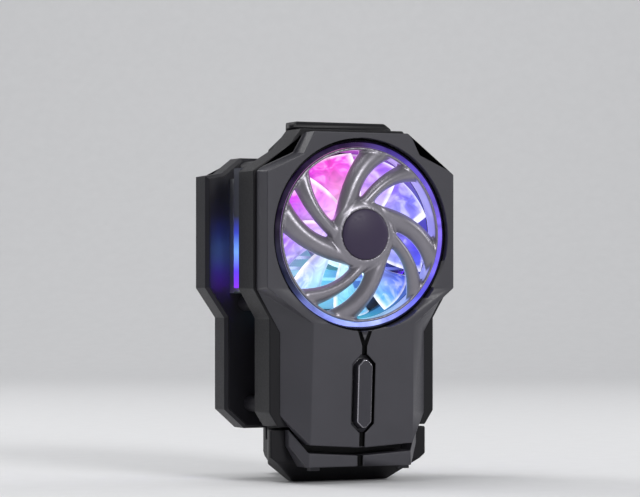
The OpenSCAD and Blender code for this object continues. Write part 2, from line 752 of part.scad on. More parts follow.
module base_plate() color(base_grey) difference() {
    union() {
        slab(air_rear, base_rear) polygon(inset(base_wide, base_bevel + 0.2));
        loft([inset(base_wide, base_bevel), base_wide, base_wide, inset(base_wide, base_bevel)],
            [air_rear + 0.2, air_rear + 1, base_rear - 1, base_rear - 0.2]);
        for (p = post_at) both_sides() peg(p[0], p[1], post_r, shroud_depth, air_rear + 1);
        both_sides() slab(shroud_depth, air_rear + 1)
            panel(rail_in, rail_in + rail_w, shroud_low + 0.5, spring_top - 1.5);
        both_sides() peg(spring_x, spring_top, spring_pin_r, shroud_depth + 1.5, air_rear + 1);
        peg(0, stop_z, stop_r, shroud_depth + slide_gap, air_rear + 1);
    }
    translate([0, 0, cold_z]) {
        slab(air_rear - 1, base_rear + 1) square(cold_side + 2 * fit, center = true);
        slab(air_rear - 1, cold_step_rear + fit)
            square([cold_side + 2 * (cold_step + fit), cold_side - 2 + 2 * fit], center = true);
    }
    for (p = post_at) both_sides() {
        peg(p[0], p[1], screw_r + screw_gap, shroud_depth - 1, base_rear + 1);
        peg(p[0], p[1], screw_head_r + fit, base_rear - screw_head_t - 0.3, base_rear + 1);
    }
    both_sides() jaw_screw(screw_r - 0.1 + screw_gap, air_rear - 1, air_rear + 4.5);
}

module case_screws() color(steel_grey) {
    for (p = post_at) both_sides() {
        peg(p[0], p[1], screw_r, shroud_depth - screw_bite, base_rear - screw_head_t - 0.2);
        peg(p[0], p[1], screw_head_r, base_rear - screw_head_t - 0.3 + fit, base_rear - 0.3);
    }
}

// Upper jaw: a fixed claw on the base plate's top edge
claw_top = grip_z + 8.6;
claw_cap = cover_top + 0.9 + fit;
claw_neck_half = claw_tip_half + 1.4;
claw_tip_top = grip_z + 3.4;
jaw_front = shroud_depth + 0.05;
cap_front = shroud_depth - 3.4;
pad_front = base_rear + 0.6;

// Width of the claws in plan, narrowing towards their tips
module claw_plan(front, z, h) {
    root = shroud_depth + 1;
    neck = base_rear - 3;
    half_plan = [[claw_half, front], [claw_half, root], [claw_neck_half, neck], [claw_tip_half, claw_rear]];
    plan(z, h) polygon(concat(half_plan, [for (i = [3:-1:0]) [-half_plan[i][0], half_plan[i][1]]]));
}

module upper_jaw() color(shroud_black) difference() {
    union() {
        intersection() {
            across(claw_half + 1) polygon([[jaw_front, base_top], [jaw_front, claw_cap],
                [cap_front, claw_cap], [cap_front, claw_top - 0.9], [cap_front + 1, claw_top],
                [jaw_front + 9, claw_top],
                [claw_rear - 1, claw_tip_top], [claw_rear, claw_tip_top - 1],
                [claw_rear, grip_z - claw_reach + 0.8], [claw_rear - 0.8, grip_z - claw_reach],
                [claw_front + 0.6, grip_z - claw_reach], [claw_front, grip_z - claw_reach + 0.6],
                [claw_front, grip_z + jaw_pad_t], [base_rear + 0.3, grip_z + jaw_pad_t],
                [base_rear + 0.3, base_top]]);
            claw_plan(cap_front - 1, base_top - 10, 40);
            slab(cap_front - 1, claw_rear + 1) polygon([[-claw_half, base_top - 10],
                [-claw_half, claw_top - 1.6], [1.3 - claw_half, claw_top], [claw_half - 1.3, claw_top],
                [claw_half, claw_top - 1.6], [claw_half, base_top - 10]]);
        }
        slab(air_rear - tongue_t, air_rear)
            panel(-tongue_half, tongue_half, sink_high + 0.4, base_top + 0.5);
    }
    both_sides() jaw_screw(screw_r + screw_gap, air_rear - tongue_t - 1, air_rear + 1);
}

module upper_jaw_pad() color(soft_black) {
    intersection() {
        claw_plan(pad_front, grip_z, jaw_pad_t);
        slab(pad_front, claw_front - 0.1)
            panel(0.8 - claw_tip_half, claw_tip_half - 0.8, grip_z, grip_z + jaw_pad_t);
    }
}

module jaw_screws() color(steel_grey) both_sides() {
    jaw_screw(screw_r - 0.1, air_rear - tongue_t, air_rear + 4);
    jaw_screw(1.6, air_rear - tongue_t - 1.1, air_rear - tongue_t);
}

// Lower jaw: a carriage in the rails, a foot plate and a claw under the phone
carriage_front = shroud_depth + slide_gap;
carriage_rear = air_rear - slide_gap;
carriage_half = rail_in - slide_gap;
carriage_top = stop_z + jaw_travel + stop_r + stop_play + 1.4;
foot_front = cover_depth + 2;
foot_half = flare_half + 1.4;
foot_low = 6.5;
foot_step = foot_front + 5;
foot_top = shroud_low - 0.6;
jaw_top = jaw_floor - jaw_pad_t;
spring_pin_z = stem_low + 2.5;
channel_half = 2.5;
channel_front = carriage_front + 2.2;
jaw_pin_r = 0.8;

foot_block = claw_half - 0.6;
claw_waist = foot_block - 3.5;
claw_sole = claw_waist - 4;

// The lower claw from above and from the front: the foot's block, narrowing to the tip and to its sole
module foot_plan(z, h) {
    neck = base_rear - 3;
    half_plan = [[foot_block, foot_front], [foot_block, carriage_front + 0.5], [claw_waist, neck],
        [claw_tip_half + 1.2, claw_rear]];
    plan(z, h) polygon(concat(half_plan, [for (i = [3:-1:0]) [-half_plan[i][0], half_plan[i][1]]]));
}

module foot_front_view() slab(foot_front, claw_rear + 1) polygon([[-foot_block, stem_low],
    [foot_block, stem_low], [foot_block, foot_low], [claw_sole, 0], [-claw_sole, 0], [-foot_block, foot_low]]);

module lower_jaw() color(shroud_black) {
    difference() {
        slab(carriage_front, carriage_rear) panel(-carriage_half, carriage_half, 4, carriage_top);
        slab(carriage_front - 1, carriage_rear + 1) {
            panel(-stop_r - stop_play, stop_r + stop_play, stop_z, stop_z + jaw_travel);
            for (z = [stop_z, stop_z + jaw_travel]) translate([0, z]) circle(stop_r + stop_play);
        }
        both_sides() slab(channel_front, carriage_rear + 1)
            panel(spring_x - channel_half, spring_x + channel_half, spring_pin_z - 1.6, carriage_top + 1);
    }
    both_sides() peg(spring_x, spring_pin_z, jaw_pin_r, channel_front - 0.5, carriage_rear - 1);
    intersection() {
        slab(foot_front, carriage_front + 0.5) polygon([[-foot_half, foot_top], [foot_half, foot_top],
            [foot_half, foot_low], [foot_block, 0], [-foot_block, 0], [-foot_half, foot_low]]);
        across(foot_half + 1) polygon([[foot_front, foot_low - 1.2], [foot_front, foot_top],
            [carriage_front + 0.5, foot_top], [carriage_front + 0.5, 0], [foot_step, 0]]);
        plan(-1, 30) polygon([[-foot_half, foot_front - 1], [foot_half, foot_front - 1],
            [foot_half, foot_front + 1.6], [foot_half - 3, carriage_front + 1],
            [3 - foot_half, carriage_front + 1], [-foot_half, foot_front + 1.6]]);
    }
    intersection() {
        across(claw_half + 1) polygon([[foot_step, 0], [foot_step, jaw_top],
            [claw_front, jaw_top], [claw_front, jaw_floor + claw_reach - 0.6],
            [claw_front + 0.6, jaw_floor + claw_reach],
            [claw_rear - 0.8, jaw_floor + claw_reach], [claw_rear, jaw_floor + claw_reach - 0.8],
            [claw_rear, 5.6], [claw_rear - 1.4, 4.4], [base_rear - 3, 0]]);
        foot_plan(-1, 30);
        foot_front_view();
    }
}

// Jaw lip: the stem's form carried on below the shadow gap, with two small feet
lip_front = 1.2;
lip_top = cover_low - lip_gap;
lip_low = lip_top - lip_h;
lip_wing = stem_half + 0.6 * stem_flare;
wing_rise = 1.6 * (lip_wing - stem_half);
wing_lean = 1.125;

module lower_lip() color(cover_grey) difference() {
    union() {
        slab(lip_front, foot_front) polygon(whole([[0, lip_top - cover_vee], [stem_half, lip_top],
            [lip_wing, lip_top + wing_rise], [lip_wing, lip_top + 1.6], [stem_half + 0.4, lip_low]]));
        both_sides() slab(lip_front + 0.3, lip_front + 2)
            panel(stem_half - 3, stem_half - 0.4, lip_low - 0.8, lip_low + 1);
    }
    both_sides() plan(-1, 30) polygon([[stem_half - 0.3, lip_front - 0.25],
        [lip_wing + 1, lip_front - 0.25 + wing_lean * (lip_wing + 1.3 - stem_half)],
        [lip_wing + 1, lip_front - 0.25]]);
    slab(lip_front - 1, lip_front + groove_depth)
        panel(-groove_w / 2, groove_w / 2, lip_low - 2, lip_top + 1);
}

module lower_jaw_pad() color(soft_black) {
    slab(pad_front, claw_front - 0.1) panel(0.8 - claw_tip_half, claw_tip_half - 0.8, jaw_top, jaw_floor);
}

// Return springs of the lower jaw, each one wire from its jaw pin to its fixed pin
spring_wire_r = 0.3;
spring_mean_r = 1.7;
spring_curls = 12;
spring_sides = 6;
spring_d = (channel_front + carriage_rear) / 2;
spring_low = spring_pin_z + jaw_pin_r + 0.5;
spring_high = spring_top - spring_pin_r - 0.5;
ring_steps = 8;

coil_rise = (spring_high - spring_low) / (spring_curls * ring_steps);
function coil_point(k) = let (a = 360 * k / ring_steps)
    [spring_mean_r * cos(a), spring_mean_r * sin(a), spring_low + coil_rise * k];
function coil_section(k) = let (
    a = 360 * k / ring_steps,
    climb = atan(coil_rise * ring_steps / (2 * PI * spring_mean_r)),
    out = [cos(a), sin(a), 0],
    up = [sin(a) * sin(climb), -cos(a) * sin(climb), cos(climb)])
    [for (i = [0:spring_sides - 1]) let (b = -360 * i / spring_sides)
        coil_point(k) + spring_wire_r * (cos(b) * out + sin(b) * up) + [spring_x, face_y + spring_d, 0]];
coil_steps = [for (k = [0:ring_steps]) for (j = [k + 6:k + 10]) norm(coil_point(j) - coil_point(k))];
echo(least_spring_gap = min(coil_steps) - 2 * spring_wire_r);

module jaw_springs() color(steel_grey)
    both_sides() skin([for (k = [0:spring_curls * ring_steps]) coil_section(k)]);

front_cover();
bezel_ring();
light_ring();
led_board();
leds();
fan_grille();
hub_badge();
mode_key();
switch_plunger();
tact_switch();
control_board();
usb_socket();
bay_cover();
cover_screws();
shroud_frame();
side_lights();
motor_base();
motor_board();
stator_core();
windings();
bearing_sleeve();
fan_shaft();
impeller();
rotor_magnet();
heat_sink();
peltier_module();
cold_plate();
cooling_pad();
base_plate();
case_screws();
upper_jaw();
upper_jaw_pad();
jaw_screws();
lower_jaw();
lower_lip();
lower_jaw_pad();
jaw_springs();
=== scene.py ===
import math

import bmesh
import bpy
from mathutils import Matrix, Vector
from mathutils.bvhtree import BVHTree


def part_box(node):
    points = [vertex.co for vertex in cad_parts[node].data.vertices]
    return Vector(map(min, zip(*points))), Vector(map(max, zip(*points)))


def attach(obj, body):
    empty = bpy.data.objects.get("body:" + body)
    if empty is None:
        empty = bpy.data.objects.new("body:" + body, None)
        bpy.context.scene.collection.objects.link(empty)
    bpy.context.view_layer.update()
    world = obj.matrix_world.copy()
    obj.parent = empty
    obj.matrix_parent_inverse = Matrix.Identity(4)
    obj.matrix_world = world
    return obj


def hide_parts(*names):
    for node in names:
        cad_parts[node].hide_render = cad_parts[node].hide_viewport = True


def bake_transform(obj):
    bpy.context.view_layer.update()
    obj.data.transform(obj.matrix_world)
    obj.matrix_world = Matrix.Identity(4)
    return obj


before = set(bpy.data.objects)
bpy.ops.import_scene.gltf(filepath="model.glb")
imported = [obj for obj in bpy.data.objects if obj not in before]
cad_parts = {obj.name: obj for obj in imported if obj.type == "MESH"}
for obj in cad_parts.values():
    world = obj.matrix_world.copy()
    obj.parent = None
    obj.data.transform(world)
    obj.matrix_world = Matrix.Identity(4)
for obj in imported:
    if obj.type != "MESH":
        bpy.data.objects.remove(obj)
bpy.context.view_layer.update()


# Base plate: the rear shell that carries everything, with screw posts, jaw rails and spring pins.
# Injection-moulded ABS from a spark-eroded tool, so its satin grain is even. The real part's edges are round;
# here they keep the part file's shape.

mm = 0.001


def linear(hex_colour):
    """A colour written as sRGB hex, as the linear values that a shader takes."""
    parts = [int(hex_colour[i:i + 2], 16) / 255 for i in (1, 3, 5)]
    return [c / 12.92 if c <= 0.04045 else ((c + 0.055) / 1.055) ** 2.4 for c in parts] + [1.0]


def add(tree, kind, values=None, links=None, **settings):
    """Adds one node with its settings, its socket values and what feeds it."""
    made = tree.nodes.new(kind)
    for name, value in settings.items():
        setattr(made, name, value)
    for socket, value in (values or {}).items():
        made.inputs[socket].default_value = value
    for socket, source in (links or {}).items():
        tree.links.new(source, made.inputs[socket])
    return made


def blank_material(name):
    """An empty material and its tree."""
    material = bpy.data.materials.new(name)
    material.use_nodes = True
    material.node_tree.nodes.clear()
    return material, material.node_tree


def moulded_plastic(name, colour, edge_rub_and_highlight, grit=0.4, roughness=0.42, relief=0.03, flake=0.0, shine=0.5):
    """ABS as it leaves a spark-eroded tool. The grit, in mm, is drawn coarser than the real
    0.1 mm so that it shows. The rounded edges are painted a little lighter in patches of 9 mm, partly
    as handling rub and partly as a painted highlight. Flake is the share of metal in a lacquer over it,
    and shine is how far the skin mirrors."""
    patch = 9
    material, tree = blank_material(name)
    place = add(tree, "ShaderNodeTexCoord").outputs["Object"]
    grain = add(tree, "ShaderNodeTexNoise", {"Scale": 1 / (grit * mm), "Detail": 2.0}, {"Vector": place})
    cloud = add(tree, "ShaderNodeTexNoise", {"Scale": 1 / (patch * mm), "Detail": 3.0}, {"Vector": place})
    # The rounded edges take a lighter colour: partly rub, partly a painted highlight
    edge = add(tree, "ShaderNodeAttribute", attribute_name="rub_and_highlight")
    edge_patchiness = add(tree, "ShaderNodeMapRange", {"From Min": 0.3, "From Max": 0.75, "To Min": 0.35, "To Max": 1.0},
              {"Value": cloud.outputs["Fac"]})
    rub_and_highlight = add(tree, "ShaderNodeMath", {}, {0: edge.outputs["Fac"], 1: edge_patchiness.outputs[0]}, operation="MULTIPLY")
    base = linear(colour)
    light = [min(1.0, c * 1.12) for c in base[:3]] + [1.0]
    dark = [c * 0.9 for c in base[:3]] + [1.0]
    tone = add(tree, "ShaderNodeMix", {6: dark, 7: light}, {0: cloud.outputs["Fac"]}, data_type="RGBA")
    paint = add(tree, "ShaderNodeMix", {7: linear(edge_rub_and_highlight)}, {0: rub_and_highlight.outputs[0], 6: tone.outputs[2]},
                data_type="RGBA")
    rough = add(tree, "ShaderNodeMapRange", {"From Min": 0.3, "From Max": 0.7,
                "To Min": roughness - 0.05, "To Max": roughness + 0.06}, {"Value": grain.outputs["Fac"]})
    bump = add(tree, "ShaderNodeBump", {"Strength": 0.35, "Distance": relief * mm},
               {"Height": grain.outputs["Fac"]})
    skin = add(tree, "ShaderNodeBsdfPrincipled",
               {"IOR": 1.53, "Metallic": flake, "Specular IOR Level": shine},
               {"Base Color": paint.outputs[2], "Roughness": rough.outputs[0], "Normal": bump.outputs[0]})
    add(tree, "ShaderNodeOutputMaterial", links={"Surface": skin.outputs[0]})
    return material


def finished(name, mesh, material):
    """An object at the origin that holds a finished mesh."""
    piece = bpy.data.objects.new(name, mesh)
    bpy.context.scene.collection.objects.link(piece)
    mesh.materials.clear()
    mesh.materials.append(material)
    return piece


def plain_copy(piece):
    """Turns a piece's modifiers into a plain mesh and takes them off."""
    seen = bpy.context.evaluated_depsgraph_get()
    seen.update()
    mesh = bpy.data.meshes.new_from_object(piece.evaluated_get(seen))
    piece.modifiers.clear()
    piece.data = mesh
    return piece


def dress(node, material):
    """Gives a CAD node its material."""
    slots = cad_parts[node].data.materials
    slots.clear()
    slots.append(material)


# Near-black grey: an even satin with broad, dim highlights
base_plastic = moulded_plastic("Satin ABS, base grey", "#222126", "#434248", shine=0.25)
dress("base_plate", base_plastic)


# Cold side: the ceramic thermoelectric module and the machined aluminium plate that it chills.
# The plate seats by its step in the base plate's window and carries the pad.

# Chalky off-white and matt, with a faint speck
ceramic, tree = blank_material("Alumina ceramic, fired")
place = add(tree, "ShaderNodeTexCoord").outputs["Object"]
speck = add(tree, "ShaderNodeTexNoise", {"Scale": 1 / (0.6 * mm), "Detail": 4.0}, {"Vector": place})
chalk = add(tree, "ShaderNodeMix", {6: linear("#dcd9d0"), 7: linear("#efece4")}, {0: speck.outputs["Fac"]},
            data_type="RGBA")
skin = add(tree, "ShaderNodeBsdfPrincipled", {"Roughness": 0.72, "IOR": 1.76},
           {"Base Color": chalk.outputs[2]})
add(tree, "ShaderNodeOutputMaterial", links={"Surface": skin.outputs[0]})
dress("peltier_module", ceramic)


def worked_metal(name, colour, shade, stretch, line=0.12, roughness=0.34):
    """A worked metal with fine tool lines. Stretch draws the lines out along one axis, and their
    spacing, in mm, is coarser than real ones so that they show."""
    material, tree = blank_material(name)
    place = add(tree, "ShaderNodeTexCoord").outputs["Object"]
    drawn = add(tree, "ShaderNodeMapping", {"Scale": stretch}, {"Vector": place})
    lines = add(tree, "ShaderNodeTexNoise", {"Scale": 1 / (line * mm), "Detail": 3.0},
                {"Vector": drawn.outputs[0]})
    tone = add(tree, "ShaderNodeMix", {6: linear(shade), 7: linear(colour)}, {0: lines.outputs["Fac"]},
               data_type="RGBA")
    rough = add(tree, "ShaderNodeMapRange", {"From Min": 0.3, "From Max": 0.7,
                "To Min": roughness - 0.06, "To Max": roughness + 0.1}, {"Value": lines.outputs["Fac"]})
    bump = add(tree, "ShaderNodeBump", {"Strength": 0.25, "Distance": 0.01 * mm},
               {"Height": lines.outputs["Fac"]})
    skin = add(tree, "ShaderNodeBsdfPrincipled", {"Metallic": 1.0},
               {"Base Color": tone.outputs[2], "Roughness": rough.outputs[0], "Normal": bump.outputs[0]})
    add(tree, "ShaderNodeOutputMaterial", links={"Surface": skin.outputs[0]})
    return material


# Bright silver grey, with fine cutter lines that draw the highlights out
dress("cold_plate", worked_metal("Aluminium, milled", "#d3d6d8", "#b4b7ba", stretch=(0.05, 1, 1)))


# Cooling pad: a thin sheet of soft thermal silicone stuck to the cold plate, 38 mm square.
# It is a little crowned, with rounded corners and the fine pebble of its casting film.

def silicone(name, colour, pebble, roughness=0.62):
    """Cast silicone rubber: matt, faintly dusty, with a pebbled skin of the given size in mm."""
    material, tree = blank_material(name)
    place = add(tree, "ShaderNodeTexCoord").outputs["Object"]
    bead = add(tree, "ShaderNodeTexVoronoi", {"Scale": 1 / (pebble * mm)}, {"Vector": place})
    dust = add(tree, "ShaderNodeTexNoise", {"Scale": 1 / (5 * mm), "Detail": 4.0}, {"Vector": place})
    base = linear(colour)
    bloom = [min(1.0, c * 1.5 + 0.004) for c in base[:3]] + [1.0]
    tone = add(tree, "ShaderNodeMix", {6: base, 7: bloom}, {0: dust.outputs["Fac"]}, data_type="RGBA")
    bump = add(tree, "ShaderNodeBump", {"Strength": 0.5, "Distance": 0.04 * mm},
               {"Height": bead.outputs["Distance"]}, invert=True)
    skin = add(tree, "ShaderNodeBsdfPrincipled", {"Roughness": roughness, "IOR": 1.41, "Sheen Weight": 0.12},
               {"Base Color": tone.outputs[2], "Normal": bump.outputs[0]})
    add(tree, "ShaderNodeOutputMaterial", links={"Surface": skin.outputs[0]})
    return material


def band(shape, a, b):
    """A smooth band of faces between two rings of as many points."""
    for k in range(len(a)):
        j = (k + 1) % len(a)
        shape.faces.new((a[k], a[j], b[j], b[k])).smooth = True


def as_mesh(shape, name):
    """A shape that is done, as a mesh."""
    mesh = bpy.data.meshes.new(name)
    shape.to_mesh(mesh)
    shape.free()
    return mesh


def cast_pad(low, high, corner, round_edge, crown, axis, steps=28):
    """A closed pad between two corners: a rounded outline, round edges and a crowned face on the
    high side of the axis."""
    others = [k for k in range(3) if k != axis]
    half = [(high[k] - low[k]) / 2 for k in others]
    mid = [(high[k] + low[k]) / 2 for k in others]
    rim = []
    for turn in range(4 * steps):
        a = 2 * math.pi * (turn + 0.5) / (4 * steps)
        side = [math.copysign(1, math.cos(a)), math.copysign(1, math.sin(a))]
        rim.append([side[k] * (half[k] - corner) + corner * (math.cos(a), math.sin(a))[k] for k in (0, 1)])
    thick = high[axis] - low[axis]
    flat_share = 1 - round_edge / half[0]
    edge_steps, face_steps, crown_power = 5, 10, 2.5
    rows = [(1.0, 0.0)]
    for k in range(edge_steps + 1):
        a = math.pi / 2 * k / edge_steps
        rows.append((1 - round_edge * (1 - math.cos(a)) / half[0],
                     thick - crown - round_edge * (1 - math.sin(a))))
    for k in range(1, face_steps):
        s = flat_share - k / face_steps * flat_share
        rows.append((s, thick - crown * (s / flat_share) ** crown_power))
    shape = bmesh.new()
    rings = []
    for scale, height in rows:
        ring = []
        for x, y in rim:
            point = [0.0, 0.0, 0.0]
            point[others[0]] = mid[0] + x * scale
            point[others[1]] = mid[1] + y * scale
            point[axis] = low[axis] + height
            ring.append(shape.verts.new(point))
        rings.append(ring)
    for a, b in zip(rings, rings[1:]):
        band(shape, a, b)
    shape.faces.new(rings[0])
    shape.faces.new(rings[-1])
    bmesh.ops.recalc_face_normals(shape, faces=shape.faces)
    return as_mesh(shape, "pad")


pad_low, pad_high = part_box("cooling_pad")
# Charcoal and matt, so that it looks soft beside the plastic
thermal_silicone = silicone("Thermal silicone, cast sheet", "#2b2b2e", pebble=0.5)
pad_mesh = cast_pad(pad_low, pad_high, corner=3 * mm, round_edge=0.35 * mm, crown=0.12 * mm, axis=1)
cold_pad = finished("cold_pad", pad_mesh, thermal_silicone)
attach(cold_pad, "housing")
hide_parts("cooling_pad")


# Heat sink: an extruded aluminium block whose fins cross the air gap from side to side.
# The saw and the die leave fine lines along the fins.

# Silver grey, duller than the plate, with long lines along each fin
fin_metal = worked_metal("Aluminium, extruded", "#c4c7ca", "#9fa2a6", stretch=(0.04, 1, 1), line=0.2,
                         roughness=0.4)
dress("heat_sink", fin_metal)


# Upper jaw: the fixed claw at the top, moulded in the same black ABS as the frame.
# Two screws hold it to the base plate's top edge.

def softened(node, name, width, material, segments=3, crease=22, narrow=3.0):
    """A copy of a solid with its sharp edges rounded, each rounding marked for a lighter edge colour
    that is partly rub and partly a painted highlight.
    Edges of faces narrower than a few roundings stay sharp."""
    shape = bmesh.new()
    shape.from_mesh(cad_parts[node].data)
    bmesh.ops.remove_doubles(shape, verts=shape.verts, dist=1e-6)
    bmesh.ops.dissolve_limit(shape, angle_limit=math.radians(0.8), verts=shape.verts, edges=shape.edges)
    span = {f: f.calc_area() / max(e.calc_length() for e in f.edges) for f in shape.faces}
    sharp = [e for e in shape.edges if len(e.link_faces) == 2 and e.calc_face_angle() > math.radians(crease)
             and min(span[f] for f in e.link_faces) > narrow * width * mm]
    made = bmesh.ops.bevel(shape, geom=sharp, offset=width * mm, offset_type="OFFSET", segments=segments,
                           profile=0.5, affect="EDGES", clamp_overlap=False, loop_slide=False)
    # Marks the roundings that take the lighter edge colour: partly rub, partly a painted highlight
    layer = shape.faces.layers.float.new("rub_and_highlight")
    for face in made["faces"]:
        if face.is_valid:
            face[layer] = 1.0
    for face in shape.faces:
        face.smooth = True
    piece = finished(name, as_mesh(shape, name), material)
    normals = piece.modifiers.new("normals", "WEIGHTED_NORMAL")
    normals.weight = 80
    return plain_copy(piece)


# Satin black that stays dark in the light; its rounded edges are painted a little paler, partly rub and
# partly a painted highlight
frame_plastic = moulded_plastic("Satin ABS, frame black", "#161519", "#343338", shine=0.22)
upper_claw = softened("upper_jaw", "upper_claw", width=0.4, material=frame_plastic)
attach(upper_claw, "housing")
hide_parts("upper_jaw")


# Lower jaw: the sprung carriage with its foot plate and claw, and the grey lip clipped to its front.
# The lip carries the cover's form on below the shadow gap.

lower_claw = softened("lower_jaw", "lower_claw", width=0.4, material=frame_plastic)
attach(lower_claw, "jaw")
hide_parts("lower_jaw")

# Mid grey with a soft sheen; its rounded edges are painted lighter, partly rub and partly a painted highlight
cover_plastic = moulded_plastic("Satin ABS, cover grey", "#424147", "#6f6d75", grit=0.42, roughness=0.38,
                                shine=0.35)
# Painted shade: dead black, so that the groove reads as a deep line
groove_painted_shade = moulded_plastic("Painted shade, matt black", "#050506", "#0a0a0b", grit=0.5, roughness=0.7,
                               shine=0.1)


def shade_painted_in_groove(piece, node, half_width, depth):
    """Paints shade into the centre groove, and the recess that it runs into, in black: the faces near
    the middle that lie a little behind the front beside the groove."""
    beside_x, least_depth = 4.6 * mm, 0.12 * mm
    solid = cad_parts[node].data
    front = BVHTree.FromPolygons([v.co for v in solid.vertices], [p.vertices[:] for p in solid.polygons])
    piece.data.materials.append(groove_painted_shade)
    # Faces in the groove and the key's recess take the black painted shade
    for face in piece.data.polygons:
        beside = front.ray_cast(Vector((beside_x, -0.1, face.center.z)), Vector((0, 1, 0)))[0]
        if beside and abs(face.center.x) < half_width and least_depth < face.center.y - beside.y < depth:
            face.material_index = 1


jaw_lip = softened("lower_lip", "jaw_lip", width=0.3, material=cover_plastic)
# The lip's part of the groove is painted black as shade
shade_painted_in_groove(jaw_lip, "lower_lip", half_width=0.8 * mm, depth=1.2 * mm)
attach(jaw_lip, "jaw")
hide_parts("lower_lip")


# Jaw pads: soft black silicone grips in the two claws, which press on the edges of what is held.
# Each is cast as one: a base with round edges, and a row of round ribs on it.

def copies_tree(name, *inputs):
    """A node tree that makes a shape from named inputs, and the node that gives these."""
    tree = bpy.data.node_groups.new(name, "GeometryNodeTree")
    for label, kind in inputs + (("Material", "Material"),):
        tree.interface.new_socket(name=label, in_out="INPUT", socket_type="NodeSocket" + kind)
    tree.interface.new_socket(name="Shape", in_out="OUTPUT", socket_type="NodeSocketGeometry")
    return tree, add(tree, "NodeGroupInput")


def counted(tree, given):
    """As many copies of the shape as Count says, with the number of each."""
    one = add(tree, "GeometryNodeGeometryToInstance", links={0: given.outputs["Shape"]})
    return add(tree, "GeometryNodeDuplicateElements", {}, {"Geometry": one.outputs[0],
               "Amount": given.outputs["Count"]}, domain="INSTANCE")


def made_real(tree, given, placed):
    """Ends a tree: the placed copies become one real mesh with its material."""
    real = add(tree, "GeometryNodeRealizeInstances", links={0: placed.outputs[0]})
    coloured = add(tree, "GeometryNodeSetMaterial", {}, {"Geometry": real.outputs[0],
                   "Material": given.outputs["Material"]})
    add(tree, "NodeGroupOutput", links={0: coloured.outputs[0]})
    return tree


def row_tree():
    """A node tree that repeats a shape in a row, with named inputs for the count and the step."""
    tree, given = copies_tree("Row of copies", ("Shape", "Geometry"), ("Count", "Int"), ("Step", "Vector"))
    many = counted(tree, given)
    move = add(tree, "ShaderNodeVectorMath", {}, {0: given.outputs["Step"], "Scale": many.outputs[1]},
               operation="SCALE")
    placed = add(tree, "GeometryNodeTranslateInstances", {"Local Space": False},
                 {"Instances": many.outputs[0], "Translation": move.outputs[0]})
    return made_real(tree, given, placed)


def grown(name, mesh, tree, material, **inputs):
    """A piece made by a node tree from one shape, as a plain mesh."""
    piece = finished(name, mesh, material)
    grow = piece.modifiers.new("grow", "NODES")
    grow.node_group = tree
    named = {s.name: s.identifier for s in tree.interface.items_tree if s.in_out == "INPUT"}
    for label, value in {"Material": material, **inputs}.items():
        grow[named[label]] = value
    return plain_copy(piece)


def joined(name, material, *meshes):
    """Several meshes as the shells of one piece."""
    shape = bmesh.new()
    for mesh in meshes:
        shape.from_mesh(mesh)
    return finished(name, as_mesh(shape, name), material)


def swept(points, radius, sides=10, closed=False):
    """A round wire or bead along a row of points."""
    shape = bmesh.new()
    rings = []
    count = len(points)
    # Any direction that no path here starts along
    up = Vector((0.31, 0.17, 0.93))
    for k, point in enumerate(points):
        before = points[k - 1] if k or closed else point
        after = points[(k + 1) % count] if k < count - 1 or closed else point
        along = (Vector(after) - Vector(before)).normalized()
        side = along.cross(up).normalized()
        up = side.cross(along).normalized()
        rings.append([shape.verts.new(Vector(point) + radius * (math.cos(a) * side + math.sin(a) * up))
                      for a in (2 * math.pi * i / sides for i in range(sides))])
    for k in range(count if closed else count - 1):
        band(shape, rings[k], rings[(k + 1) % count])
    if not closed:
        shape.faces.new(rings[0])
        shape.faces.new(rings[-1])
    bmesh.ops.recalc_face_normals(shape, faces=shape.faces)
    return as_mesh(shape, "wire")


rows_of = row_tree()
# Black, matt and a little dusty, with a fine pebble
grip_silicone = silicone("Silicone rubber, moulded grip", "#232326", pebble=0.35, roughness=0.7)
rib_r, rib_inset, rib_count, rib_steps = 0.45 * mm, 0.8 * mm, 6, 6
grips = (("upper_jaw_pad", "upper_grip", "housing", False), ("lower_jaw_pad", "lower_grip", "jaw", True))
for node, name, body, ribs_up in grips:
    low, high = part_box(node)
    crest = high.z - rib_r if ribs_up else low.z + rib_r
    plate_low = low if ribs_up else Vector((low.x, low.y, crest))
    plate_high = Vector((high.x, high.y, crest)) if ribs_up else high
    plate = cast_pad(plate_low, plate_high, corner=0.7 * mm, round_edge=0.25 * mm, crown=0.03 * mm,
                     axis=2, steps=6)
    pitch = (high.y - low.y - 2 * rib_inset) / (rib_count - 1)
    rib_length = high.x - low.x - 2 * rib_inset
    rib = swept([(low.x + rib_inset + rib_length * k / rib_steps, low.y + rib_inset, crest)
                 for k in range(rib_steps + 1)], rib_r, sides=14)
    ribs = grown(name + "_ribs", rib, rows_of, grip_silicone, Count=rib_count, Step=(0, pitch, 0))
    grip = joined(name, grip_silicone, plate, ribs.data)
    bpy.data.objects.remove(ribs)
    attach(grip, body)
    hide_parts(node)


# Return springs: two coils of bright spring steel wire between the jaw's pins and the base plate's pins.
# In the real part they stretch as the jaw is pulled out; here both coils are one rigid piece that stays with
# the base plate.

spring_low, spring_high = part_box("jaw_springs")
wire_r = 0.3 * mm
coil_r = 1.7 * mm
coil_turns, turn_points = 12, 24
coil_x = spring_high.x - coil_r - wire_r
coil_y = (spring_low.y + spring_high.y) / 2
coil_z = spring_low.z + wire_r
coil_rise = spring_high.z - spring_low.z - 2 * wire_r
# Bright grey wire with sharp small highlights
spring_wire = worked_metal("Spring steel, drawn bright", "#c9cbce", "#a2a5a9", stretch=(1, 1, 1),
                           line=0.3, roughness=0.28)
coils = []
for side in (-1, 1):
    path = []
    for k in range(turn_points * coil_turns + 1):
        a = 2 * math.pi * k / turn_points
        path.append((side * (coil_x + coil_r * math.cos(a)), coil_y + coil_r * math.sin(a),
                     coil_z + coil_rise * k / (turn_points * coil_turns)))
    coils.append(swept(path, wire_r, sides=12))
return_springs = joined("return_springs", spring_wire, *coils)
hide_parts("jaw_springs")
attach(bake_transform(return_springs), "housing")


# Screws: zinc-plated pan heads with a cross recess, for the case, the cover and the upper jaw.
# Each group is one screw set at its holes, with its head to the rear, or to the front in the jaw.

